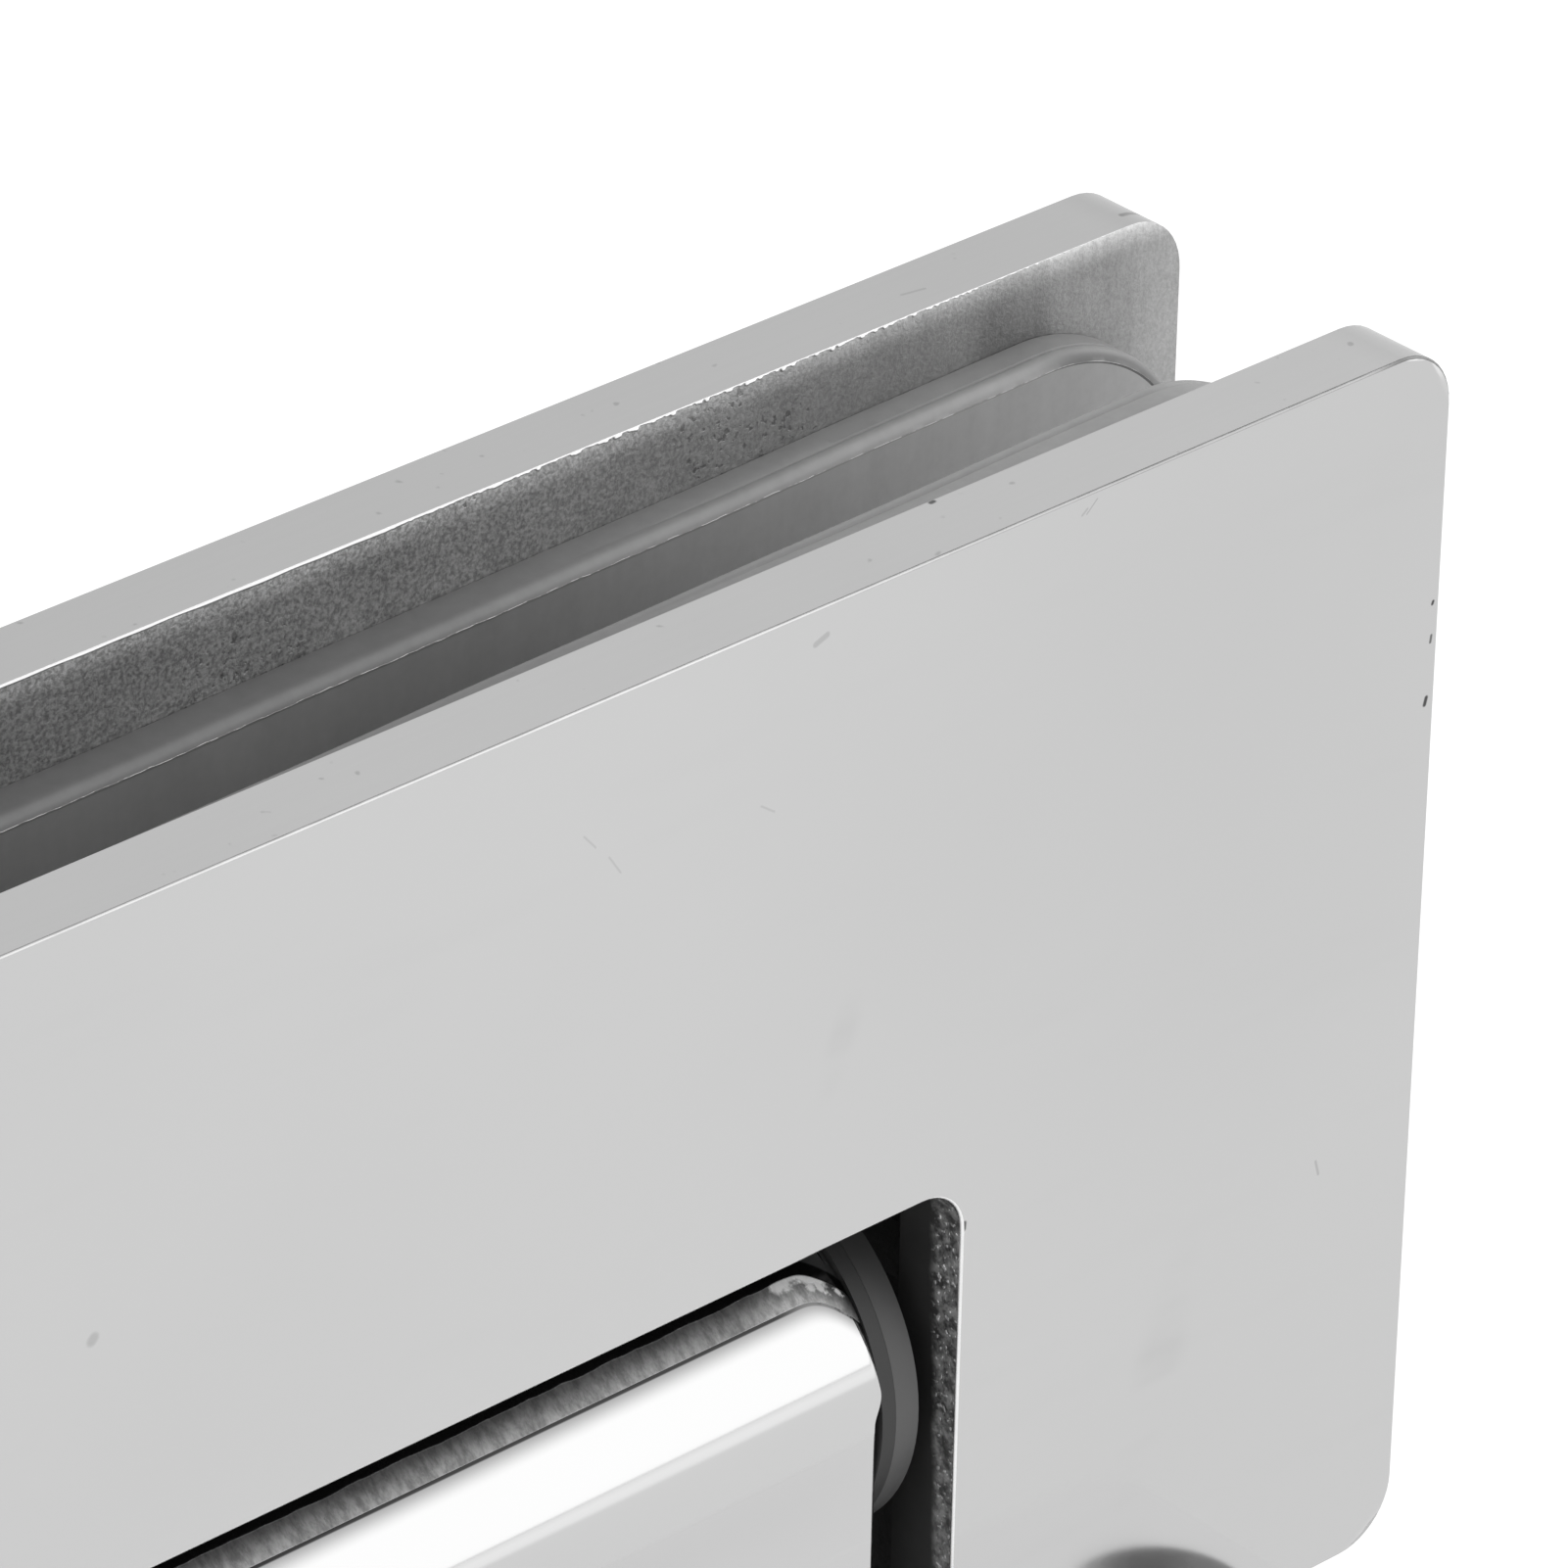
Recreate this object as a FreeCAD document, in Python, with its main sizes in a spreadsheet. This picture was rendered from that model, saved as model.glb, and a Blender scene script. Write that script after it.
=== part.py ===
# Glass door hinge for an 8 mm glass door, wall to glass, as a parametric document in millimetres.
# +Z points away from the wall, X runs along the pivot, -Y is the front of the open hinge.
# The origin is the middle of the wall plate's wall side.
import FreeCAD, Part
import os
import Sketcher

SIDES = (("left", -1), ("right", 1))
LEVELS = (("lower", -1), ("upper", 1))

# Driving sizes: alias, value, meaning.
SIZES = (
    ("glass_thickness", 8.0, "width of the empty slot between the gaskets"),
    ("gasket_thickness", 2.1, "each gasket"),
    ("clamp_length", 102.0, "clamp plates along the pivot"),
    ("clamp_height", 58.0, "clamp plates from the notched edge to the far edge"),
    ("plate_thickness", 3.6, "each clamp plate"),
    ("corner_radius", 3.0, "outer corners of the clamp plates"),
    ("notch_corner_radius", 1.6, "inner corners of the notch"),
    ("edge_break", 0.2, "polished chamfer round the outer faces"),
    ("pivot_rise", 17.25, "pivot axis from the notched edge of the clamp plates"),
    ("notch_top_gap", 2.15, "from the knuckle's barrel to the notch"),
    ("notch_side_gap", 1.2, "from the thrust washer to the notch wall"),
    ("swing_clearance", 0.71, "clamp corner to wall plate as the door swings"),
    ("knuckle_length", 43.0, "knuckle along the pivot"),
    ("knuckle_thickness", 16.58, "between the knuckle's flat faces"),
    ("barrel_diameter", 17.7, "round head of the knuckle"),
    ("barrel_step_low", 0.9, "foot of the step under the barrel, above the axis"),
    ("barrel_step_high", 1.7, "top of the same step"),
    ("barrel_bevel", 0.5, "chamfer on the barrel's end edges"),
    ("pin_diameter", 8.0, "pivot pin"),
    ("pin_flat_depth", 0.45, "detent flats below the pin's round"),
    ("pin_bevel", 0.6, "chamfer on the pin's ends"),
    ("running_fit", 0.05, "radial clearance of turning and sliding fits"),
    ("seat_fit", 0.02, "radial clearance of parts that stay put"),
    ("bush_diameter", 11.0, "outside of the bush sleeve"),
    ("bush_sleeve", 7.0, "length of the bush in the knuckle"),
    ("bush_flange", 0.75, "thickness of the bush flange"),
    ("flange_diameter", 17.6, "bush flange"),
    ("washer_diameter", 17.5, "thrust washer"),
    ("washer_thickness", 1.25, "thrust washer"),
    ("boss_neck", 3.0, "narrow start of each pin boss beside the notch"),
    ("boss_neck_height", 9.5, "height of that start"),
    ("boss_draw", 0.3, "gap that lets the plates draw up on the glass"),
    ("boss_screw_gap", 0.3, "level of the clamp screws clear of the grub screws"),
    ("boss_wall", 3.6, "boss beyond the clamp screw centres"),
    ("pin_screw_inset", 3.4, "grub screws from the start of the boss head"),
    ("pin_grip", 7.4, "length of pin held in each boss head"),
    ("gasket_end_inset", 2.0, "gasket short of the plate at each end"),
    ("gasket_web", 20.7, "gasket above its notch"),
    ("gasket_height", 46.0, "gasket overall"),
    ("gasket_corner_radius", 8.4, "upper corners of the gasket"),
    ("gasket_leg_share", 0.61, "gasket legs as a share of the room beside the bosses"),
    ("gasket_foot_flat", 0.6, "flat between the two rounded corners of a gasket leg"),
    ("gasket_lip", 0.5, "bevelled edge on the glass side"),
    ("front_gasket_drop", 1.1, "front gasket below the plate's edge at mid length"),
    ("front_gasket_shift", -1.3, "front gasket along the pivot"),
    ("front_gasket_tilt", 0.5, "front gasket, in degrees, right end up"),
    ("back_gasket_drop", 4.2, "back gasket below the plate's edge at mid length"),
    ("back_gasket_shift", 0.95, "back gasket along the pivot"),
    ("back_gasket_tilt", 1.17, "back gasket, in degrees, right end up"),
    ("clamp_screw_diameter", 5.0, "clamp and knuckle screws"),
    ("clamp_screw_head", 9.4, "countersunk heads of those screws"),
    ("clamp_screw_length", 11.0, "clamp and knuckle screws overall"),
    ("hex_socket", 3.0, "across the flats of their sockets"),
    ("socket_depth", 1.9, "depth of the sockets"),
    ("head_rim", 0.2, "straight rim of a countersunk head"),
    ("head_sink", 0.1, "screw heads below the surface"),
    ("head_gap", 0.1, "countersink wider than the head, on the radius"),
    ("hole_run_on", 1.0, "blind screw holes beyond the screws"),
    ("pin_screw_diameter", 5.0, "grub screws that hold the pin"),
    ("pin_screw_length", 4.0, "the same screws"),
    ("pin_screw_socket", 2.5, "across the flats of their sockets"),
    ("wall_plate_length", 98.0, "wall plate along the pivot"),
    ("wall_plate_width", 50.0, "wall plate across the pivot"),
    ("wall_plate_thickness", 5.0, "wall plate"),
    ("wall_plate_corner", 3.0, "corners of the wall plate"),
    ("wall_hole_end", 6.0, "wall screw holes from the ends of the wall plate"),
    ("wall_hole_side", 9.5, "wall screw holes from its long sides"),
    ("wall_hole_diameter", 4.6, "wall screw holes"),
    ("wall_head_diameter", 8.6, "countersinks of the wall screw holes"),
    ("knuckle_screw_inset", 5.0, "screws from the wall plate into the knuckle, from its ends"),
    ("detent_wall", 2.0, "from those screws to the spring-loaded bar under the pin"),
    ("detent_width", 8.0, "the same bar across the pivot"),
    ("detent_height", 9.0, "the same bar along its stroke"),
    ("detent_bevel", 0.5, "chamfer round the bar's top"),
    ("detent_run_on", 1.0, "the pin's flats beyond the bar at each end"),
    ("spring_inset", 5.5, "detent springs from the ends of the bar"),
    ("spring_diameter", 5.3, "detent springs outside"),
    ("spring_wire", 1.2, "wire of the springs, six-sided"),
    ("spring_pitch", 4.2, "pitch of the springs"),
    ("spring_bore_depth", 5.5, "blind holes for the springs in the bar"),
    ("spring_play", 0.15, "spring in its hole, on the radius"),
)

# Places that follow from the driving sizes.
GAP = "(sizes.glass_thickness + 2 * sizes.gasket_thickness)"
WASHER_START = "(sizes.knuckle_length / 2 + sizes.bush_flange + sizes.running_fit)"
NOTCH_HALF = f"({WASHER_START} + sizes.washer_thickness + sizes.notch_side_gap)"
NOTCH_DEPTH = "(sizes.pivot_rise + sizes.barrel_diameter / 2 + sizes.notch_top_gap)"
CLAMP_REACH = f"sqrt(sizes.pivot_rise ^ 2 + ({GAP} / 2 + sizes.plate_thickness) ^ 2)"
PIVOT_ABOVE_PLATE = f"({CLAMP_REACH} + sizes.swing_clearance)"
PIVOT_Z = f"(sizes.wall_plate_thickness + {PIVOT_ABOVE_PLATE})"
CLAMP_Z = f"({PIVOT_Z} - sizes.pivot_rise)"
CLAMP_TOP = f"({CLAMP_Z} + sizes.clamp_height)"
HEAD_START = f"({NOTCH_HALF} + sizes.boss_neck)"
# The clamp screws are midway between the notch and the plates' ends.
CLAMP_SCREW_X = f"(({NOTCH_HALF} + sizes.clamp_length / 2) / 2)"
HEAD_END = f"({CLAMP_SCREW_X} + sizes.boss_wall)"
PIN_SCREW_DEPTH = "(sizes.pin_diameter / 2 + sizes.seat_fit + sizes.pin_screw_length)"
SCREW_RISE = f"({PIN_SCREW_DEPTH} + sizes.boss_screw_gap + sizes.clamp_screw_diameter / 2)"
HEAD_RISE = f"({SCREW_RISE} + sizes.boss_wall)"
PIN_HALF = f"({HEAD_START} + sizes.pin_grip)"
PIN_SCREW_X = f"({HEAD_START} + sizes.pin_screw_inset)"
GASKET_END = "(sizes.clamp_length / 2 - sizes.gasket_end_inset)"
GASKET_LEG = f"(sizes.gasket_leg_share * ({GASKET_END} - {HEAD_END}))"
WALL_HOLE_X = "(sizes.wall_plate_length / 2 - sizes.wall_hole_end)"
WALL_HOLE_Y = "(sizes.wall_plate_width / 2 - sizes.wall_hole_side)"
KNUCKLE_SCREW_X = "(sizes.knuckle_length / 2 - sizes.knuckle_screw_inset)"
DETENT_HALF = f"({KNUCKLE_SCREW_X} - sizes.clamp_screw_diameter / 2 - sizes.detent_wall)"
DETENT_TOP = "(sizes.pin_diameter / 2 + sizes.running_fit)"
SPRING_X = f"({DETENT_HALF} - sizes.spring_inset)"
CLEAR_HOLE = "(sizes.clamp_screw_diameter / 2 + sizes.running_fit)"
HEAD_SEAT = "(sizes.clamp_screw_head / 2 + sizes.head_gap + sizes.head_sink + sizes.head_rim)"
COUNTERSINK = f"({HEAD_SEAT} - {CLEAR_HOLE})"


# The document and its sheet of sizes.
doc = FreeCAD.newDocument("glass_door_hinge")
sheet = doc.addObject("Spreadsheet::Sheet", "sizes")
for row, (alias, value, meaning) in enumerate(SIZES, 1):
    sheet.set(f"A{row}", alias)
    sheet.set(f"B{row}", str(value))
    sheet.setAlias(f"B{row}", alias)
    sheet.set(f"C{row}", meaning)
doc.recompute()


# Sketches, drawn from expressions so that each point and radius stays bound to the sheet.
def new_body(label):
    body = doc.addObject("PartDesign::Body", label)
    body.Label = label
    return body


def place(item, across="0", along="0", up="0", turn=None):
    """Set the item's place from three expressions, after an optional fixed turn."""
    if turn:
        item.Placement = FreeCAD.Placement(FreeCAD.Vector(), turn)
    for letter, text in zip("xyz", (across, along, up)):
        item.setExpression(f"Placement.Base.{letter}", text)


def sketch_on(body, name, role, lift=None):
    """Sketch on one of the body's origin planes, lifted along the plane's normal."""
    sketch = body.newObject("Sketcher::SketchObject", name)
    plane = next(feature for feature in body.Origin.OriginFeatures if feature.Role == role)
    sketch.AttachmentSupport = [(plane, "")]
    sketch.MapMode = "FlatFace"
    if lift:
        sketch.setExpression("AttachmentOffset.Base.z", lift)
    return sketch


def point(sketch, across, up):
    return FreeCAD.Vector(sketch.evalExpression(across), sketch.evalExpression(up), 0)


def fix_point(sketch, item, end, across, up):
    """Tie one point of a sketch element to two expressions."""
    for kind, axis, text in (("DistanceX", -2, across), ("DistanceY", -1, up)):
        if text == "0":
            sketch.addConstraint(Sketcher.Constraint("PointOnObject", item, end, axis))
        elif text:
            value = sketch.evalExpression(text)
            number = sketch.addConstraint(Sketcher.Constraint(kind, -1, 1, item, end, value))
            sketch.setExpression(f"Constraints[{number}]", text)


def fix_radius(sketch, item, radius):
    value = sketch.evalExpression(radius)
    number = sketch.addConstraint(Sketcher.Constraint("Radius", item, value))
    sketch.setExpression(f"Constraints[{number}]", radius)


def outline(sketch, corners):
    """Closed outline of straight lines; each corner is a pair of expressions."""
    spots = [point(sketch, *corner) for corner in corners]
    first = sketch.GeometryCount
    for start, end in zip(spots, spots[1:] + spots[:1]):
        sketch.addGeometry(Part.LineSegment(start, end), False)
    last = sketch.GeometryCount - 1
    for line, corner in enumerate(corners, first):
        before = line - 1 if line > first else last
        sketch.addConstraint(Sketcher.Constraint("Coincident", before, 2, line, 1))
        fix_point(sketch, line, 1, *corner)


def rectangle(sketch, left, right, low, high):
    outline(sketch, ((left, low), (right, low), (right, high), (left, high)))


def circle(sketch, across, up, radius):
    shape = Part.Circle(point(sketch, across, up), FreeCAD.Vector(0, 0, 1), sketch.evalExpression(radius))
    item = sketch.addGeometry(shape, False)
    fix_point(sketch, item, 3, across, up)
    fix_radius(sketch, item, radius)


# Features.
def pad(body, name, sketch, length, side="One side", back=False):
    feature = body.newObject("PartDesign::Pad", name)
    feature.Profile = sketch
    feature.SideType = side
    feature.Reversed = back
    feature.setExpression("Length", length)
    doc.recompute()
    return feature


def cut(body, name, sketch, depth=None, side="One side", back=False):
    """Pocket that must take material away; with no depth it runs right through."""
    before = body.Tip.Shape.Volume
    feature = body.newObject("PartDesign::Pocket", name)
    feature.Profile = sketch
    feature.SideType = side
    feature.Reversed = back
    if depth:
        feature.setExpression("Length", depth)
    else:
        feature.Type = "ThroughAll"
    doc.recompute()
    if feature.Shape.Volume >= before:
        raise RuntimeError(f"{name} in {body.Label} cuts nothing")
    return feature


def turn_profile(body, name, sketch, axis="H_Axis", kind="PartDesign::Revolution"):
    feature = body.newObject(kind, name)
    feature.Profile = sketch
    feature.ReferenceAxis = (sketch, [axis])
    feature.Angle = 360
    doc.recompute()
    return feature


def edges_where(feature, test):
    return [f"Edge{number}" for number, edge in enumerate(feature.Shape.Edges, 1) if test(edge)]


def soften(body, name, kind, edges, size):
    """Fillet or chamfer of the named edges of the body's last feature."""
    base = body.Tip
    feature = body.newObject(f"PartDesign::{kind}", name)
    feature.Base = (base, edges)
    feature.setExpression("Radius" if kind == "Fillet" else "Size", size)
    doc.recompute()
    return feature


def is_near(first, second):
    return abs(first - second) < 0.01


def corner_edges(body, axis, spots):
    """Straight edges along an axis (0, 1 or 2) through the given points of the plane across it."""
    others = [index for index in range(3) if index != axis]

    def matches(edge):
        ends = [vertex.Point for vertex in edge.Vertexes]
        if len(ends) < 2 or is_near(ends[0][axis], ends[1][axis]):
            return False
        return any(
            all(is_near(end[index], value) for end in ends for index, value in zip(others, spot))
            for spot in spots
        )

    return edges_where(body.Tip, matches)


def level_edges(body, axis, level, test=lambda edge: True):
    """Edges that lie wholly at one level along an axis."""

    def matches(edge):
        box = edge.BoundBox
        low = (box.XMin, box.YMin, box.ZMin)[axis]
        high = (box.XMax, box.YMax, box.ZMax)[axis]
        return is_near(low, level) and is_near(high, level) and test(edge)

    return edges_where(body.Tip, matches)


def is_ring(diameter):
    """Test for a full circle of the given diameter."""

    def matches(edge):
        round_edge = isinstance(edge.Curve, Part.Circle)
        return round_edge and len(edge.Vertexes) == 1 and is_near(2 * edge.Curve.Radius, diameter)

    return matches


def size(text):
    return sheet.evalExpression(text)


# Clamp plates: cast plates with a notch for the knuckle. Local Z starts at the notched edge,
# local Y = 0 is the face towards the glass.
def clamp_plate(label, front):
    body = new_body(label)
    side = -1 if front else 1
    face = sketch_on(body, f"{label}_outline", "XZ_Plane")
    rectangle(face, "-sizes.clamp_length / 2", "sizes.clamp_length / 2", "0", "sizes.clamp_height")
    pad(body, f"{label}_slab", face, "sizes.plate_thickness", back=not front)
    notch = sketch_on(body, f"{label}_notch_outline", "XZ_Plane")
    rectangle(notch, f"-{NOTCH_HALF}", NOTCH_HALF, "0", NOTCH_DEPTH)
    cut(body, f"{label}_notch", notch, side="Symmetric")

    half = size("sizes.clamp_length / 2")
    high = size("sizes.clamp_height")
    ends = [(across, up) for across in (-half, half) for up in (0, high)]
    soften(body, f"{label}_corners", "Fillet", corner_edges(body, 1, ends), "sizes.corner_radius")
    inner = [(side_way * size(NOTCH_HALF), size(NOTCH_DEPTH)) for _, side_way in SIDES]
    soften(body, f"{label}_notch_corners", "Fillet", corner_edges(body, 1, inner),
           "sizes.notch_corner_radius")
    outer = side * size("sizes.plate_thickness")
    soften(body, f"{label}_edge_break", "Chamfer", level_edges(body, 1, outer), "sizes.edge_break")
    place(body, along=f"{side} * {GAP} / 2", up=CLAMP_Z)
    return body


def boss_outline(sketch, way):
    """T-shaped boss beside the notch: a neck at the notch wall and a head for two screws."""
    axis = "sizes.pivot_rise"
    neck = "sizes.boss_neck_height / 2"
    corners = (
        (NOTCH_HALF, f"{axis} - {neck}"),
        (HEAD_START, f"{axis} - {neck}"),
        (HEAD_START, f"{axis} - {HEAD_RISE}"),
        (HEAD_END, f"{axis} - {HEAD_RISE}"),
        (HEAD_END, f"{axis} + {HEAD_RISE}"),
        (HEAD_START, f"{axis} + {HEAD_RISE}"),
        (HEAD_START, f"{axis} + {neck}"),
        (NOTCH_HALF, f"{axis} + {neck}"),
    )
    outline(sketch, [(f"{way} * {across}", up) for across, up in corners])


def add_pin_bosses(body):
    """The two bosses cast on the front plate, with their pin bores and screw holes."""
    depth = f"({GAP} - sizes.boss_draw)"
    for side, way in SIDES:
        boss = sketch_on(body, f"boss_outline_{side}", "XZ_Plane")
        boss_outline(boss, way)
        pad(body, f"boss_{side}", boss, depth, back=True)
    bore = sketch_on(body, "pin_bore_circle", "YZ_Plane")
    circle(bore, f"{GAP} / 2", "sizes.pivot_rise", "sizes.pin_diameter / 2 + sizes.seat_fit")
    cut(body, "pin_bore", bore, side="Symmetric")
    top = sketch_on(body, "clamp_screw_circles", "XZ_Plane", lift=f"-{depth}")
    for _, way in SIDES:
        for _, level in LEVELS:
            circle(top, f"{way} * {CLAMP_SCREW_X}", f"sizes.pivot_rise + {level} * {SCREW_RISE}",
                   "sizes.clamp_screw_diameter / 2 + sizes.seat_fit")
    engaged = "(sizes.clamp_screw_length + sizes.head_sink - sizes.plate_thickness - sizes.boss_draw)"
    cut(body, "clamp_screw_holes", top, f"{engaged} + sizes.hole_run_on", back=True)
    foot = sketch_on(body, "pin_screw_circles", "XY_Plane", lift=f"sizes.pivot_rise - {HEAD_RISE}")
    for _, way in SIDES:
        circle(foot, f"{way} * {PIN_SCREW_X}", f"{GAP} / 2", "sizes.pin_screw_diameter / 2 + sizes.seat_fit")
    cut(body, "pin_screw_holes", foot, HEAD_RISE, back=True)


def add_screw_seats(body):
    """Four countersunk holes through the back plate."""
    holes = sketch_on(body, "back_hole_circles", "XZ_Plane")
    for _, way in SIDES:
        for _, level in LEVELS:
            circle(holes, f"{way} * {CLAMP_SCREW_X}", f"sizes.pivot_rise + {level} * {SCREW_RISE}",
                   CLEAR_HOLE)
    cut(body, "back_holes", holes, side="Symmetric")
    rims = level_edges(body, 1, size("sizes.plate_thickness"), is_ring(2 * size(CLEAR_HOLE)))
    soften(body, "back_countersinks", "Chamfer", rims, COUNTERSINK)


# Gaskets: soft sheets that lie against the plates, loose while no glass is clamped.
def gasket(label, front):
    body = new_body(label)
    way = -1 if front else 1
    half = GASKET_END
    notch = f"({GASKET_END} - {GASKET_LEG})"
    notch_top = "(-sizes.gasket_web)"
    foot = "(-sizes.gasket_height)"
    face = sketch_on(body, f"{label}_outline", "XZ_Plane")
    outline(face, (
        (f"-{half}", foot), (f"-{notch}", foot), (f"-{notch}", notch_top), (notch, notch_top),
        (notch, foot), (half, foot), (half, "0"), (f"-{half}", "0"),
    ))
    pad(body, f"{label}_sheet", face, "sizes.gasket_thickness", back=front)
    ends = [(side_way * size(half), 0) for _, side_way in SIDES]
    soften(body, f"{label}_shoulders", "Fillet", corner_edges(body, 1, ends), "sizes.gasket_corner_radius")
    feet = [(side_way * size(text), size(foot)) for _, side_way in SIDES for text in (half, notch)]
    feet += [(side_way * size(notch), size(notch_top)) for _, side_way in SIDES]
    soften(body, f"{label}_feet", "Fillet", corner_edges(body, 1, feet),
           f"({GASKET_LEG} - sizes.gasket_foot_flat) / 2")
    glass_side = -way * size("sizes.gasket_thickness")
    soften(body, f"{label}_lip", "Chamfer", level_edges(body, 1, glass_side), "sizes.gasket_lip")
    # The sketch plane lies on the clamp plate's inner face and the sheet grows towards the glass.
    name = label.split("_")[0]
    place(body, f"sizes.{name}_gasket_shift", f"{way} * {GAP} / 2", f"{CLAMP_TOP} - sizes.{name}_gasket_drop",
          turn=FreeCAD.Rotation(FreeCAD.Vector(0, 1, 0), -size(f"sizes.{name}_gasket_tilt")))
    return body


# Pivot: a pin held by the bosses, turning in two flanged bushes, with a loose washer at each end.
def pivot_pin():
    body = new_body("pivot_pin")
    radius = "sizes.pin_diameter / 2"
    half = sketch_on(body, "pin_half_section", "XZ_Plane")
    outline(half, (
        (f"-{PIN_HALF}", "0"), (PIN_HALF, "0"),
        (PIN_HALF, f"{radius} - sizes.pin_bevel"), (f"{PIN_HALF} - sizes.pin_bevel", radius),
        (f"-{PIN_HALF} + sizes.pin_bevel", radius), (f"-{PIN_HALF}", f"{radius} - sizes.pin_bevel"),
    ))
    turn_profile(body, "pin_round", half)
    flats = sketch_on(body, "detent_flats_outline", "YZ_Plane")
    flat = f"({radius} - sizes.pin_flat_depth)"
    rectangle(flats, f"-{flat}", flat, f"-{flat}", flat)
    circle(flats, "0", "0", "sizes.pin_diameter")
    cut(body, "detent_flats", flats, f"2 * ({DETENT_HALF} + sizes.detent_run_on)", side="Symmetric")
    place(body, up=PIVOT_Z)
    return body


def bush(side, way):
    label = f"bush_{side}"
    body = new_body(label)
    bore = "sizes.pin_diameter / 2 + sizes.running_fit"
    section = sketch_on(body, f"{label}_section", "XZ_Plane")
    outline(section, (
        ("sizes.bush_flange", bore), ("sizes.bush_flange", "sizes.flange_diameter / 2"),
        ("0", "sizes.flange_diameter / 2"), ("0", "sizes.bush_diameter / 2"),
        ("-sizes.bush_sleeve", "sizes.bush_diameter / 2"), ("-sizes.bush_sleeve", bore),
    ))
    turn_profile(body, f"{label}_turning", section)
    facing = FreeCAD.Rotation(FreeCAD.Vector(0, 0, 1), 0 if way > 0 else 180)
    place(body, f"{way} * sizes.knuckle_length / 2", up=PIVOT_Z, turn=facing)


def thrust_washer(side, way):
    label = f"thrust_washer_{side}"
    body = new_body(label)
    rings = sketch_on(body, f"{label}_rings", "YZ_Plane")
    circle(rings, "0", "0", "sizes.washer_diameter / 2")
    circle(rings, "0", "0", "sizes.pin_diameter / 2 + sizes.seat_fit")
    pad(body, f"{label}_disc", rings, "sizes.washer_thickness", back=way < 0)
    place(body, f"{way} * {WASHER_START}", up=PIVOT_Z)


# Knuckle: block with a round head, bored for the pin and bushes and slotted for the detent bar.
# Local Z starts on the wall plate.
def knuckle_section(sketch):
    """Flat-sided outline with a round head that stands a little proud of the flats."""
    half = "sizes.knuckle_thickness / 2"
    low = f"{PIVOT_ABOVE_PLATE} + sizes.barrel_step_low"
    high = f"{PIVOT_ABOVE_PLATE} + sizes.barrel_step_high"
    radius = "sizes.barrel_diameter / 2"
    reach = f"sqrt(({radius}) ^ 2 - sizes.barrel_step_high ^ 2)"
    corners = (
        (reach, high), (half, low), (half, "0"),
        (f"-{half}", "0"), (f"-{half}", low), (f"-{reach}", high),
    )
    spots = [point(sketch, *corner) for corner in corners]
    for start, end in zip(spots, spots[1:]):
        sketch.addGeometry(Part.LineSegment(start, end), False)
    crown = point(sketch, "0", f"{PIVOT_ABOVE_PLATE} + {radius}")
    arc = sketch.addGeometry(Part.Arc(spots[-1], crown, spots[0]), False)
    for line in range(1, arc):
        sketch.addConstraint(Sketcher.Constraint("Coincident", line - 1, 2, line, 1))
        fix_point(sketch, line, 1, *corners[line])
    # A clockwise arc is stored with its two ends exchanged.
    sketch.addConstraint(Sketcher.Constraint("Coincident", 0, 1, arc, 1))
    sketch.addConstraint(Sketcher.Constraint("Coincident", arc - 1, 2, arc, 2))
    fix_point(sketch, 0, 1, "", high)
    fix_point(sketch, arc - 1, 2, "", high)
    fix_point(sketch, arc, 3, "0", PIVOT_ABOVE_PLATE)
    fix_radius(sketch, arc, radius)


def knuckle():
    body = new_body("knuckle")
    section = sketch_on(body, "knuckle_section", "YZ_Plane")
    knuckle_section(section)
    pad(body, "knuckle_block", section, "sizes.knuckle_length", side="Symmetric")
    half = size("sizes.knuckle_length / 2")

    def on_head(edge):
        return isinstance(edge.Curve, Part.Circle)

    heads = level_edges(body, 0, half, on_head) + level_edges(body, 0, -half, on_head)
    soften(body, "barrel_ends", "Chamfer", heads, "sizes.barrel_bevel")

    bores = sketch_on(body, "bore_section", "XZ_Plane")
    end = "sizes.knuckle_length / 2"
    seat = f"{PIVOT_ABOVE_PLATE} + sizes.bush_diameter / 2 + sizes.seat_fit"
    clear = f"{PIVOT_ABOVE_PLATE} + sizes.pin_diameter / 2 + 2 * sizes.running_fit"
    inner = f"({end} - sizes.bush_sleeve - sizes.running_fit)"
    axis = PIVOT_ABOVE_PLATE
    outline(bores, (
        (f"-{end}", axis), (end, axis), (end, seat), (inner, seat), (inner, clear),
        (f"-{inner}", clear), (f"-{inner}", seat), (f"-{end}", seat),
    ))
    before = body.Tip.Shape.Volume
    groove = body.newObject("PartDesign::Groove", "bores")
    groove.Profile = bores
    groove.ReferenceAxis = (bores, ["Edge1"])
    groove.Angle = 360
    doc.recompute()
    if groove.Shape.Volume >= before:
        raise RuntimeError("the bores cut nothing")

    slot = sketch_on(body, "detent_slot_outline", "XY_Plane")
    long_half = f"({DETENT_HALF} + sizes.running_fit)"
    wide_half = "(sizes.detent_width / 2 + sizes.running_fit)"
    rectangle(slot, f"-{long_half}", long_half, f"-{wide_half}", wide_half)
    cut(body, "detent_slot", slot, PIVOT_ABOVE_PLATE, back=True)
    holes = sketch_on(body, "knuckle_screw_circles", "XY_Plane")
    for _, way in SIDES:
        circle(holes, f"{way} * {KNUCKLE_SCREW_X}", "0", "sizes.clamp_screw_diameter / 2 + sizes.seat_fit")
    engaged = "(sizes.clamp_screw_length + sizes.head_sink - sizes.wall_plate_thickness)"
    cut(body, "knuckle_screw_holes", holes, f"{engaged} + sizes.hole_run_on", back=True)
    place(body, up="sizes.wall_plate_thickness")


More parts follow.
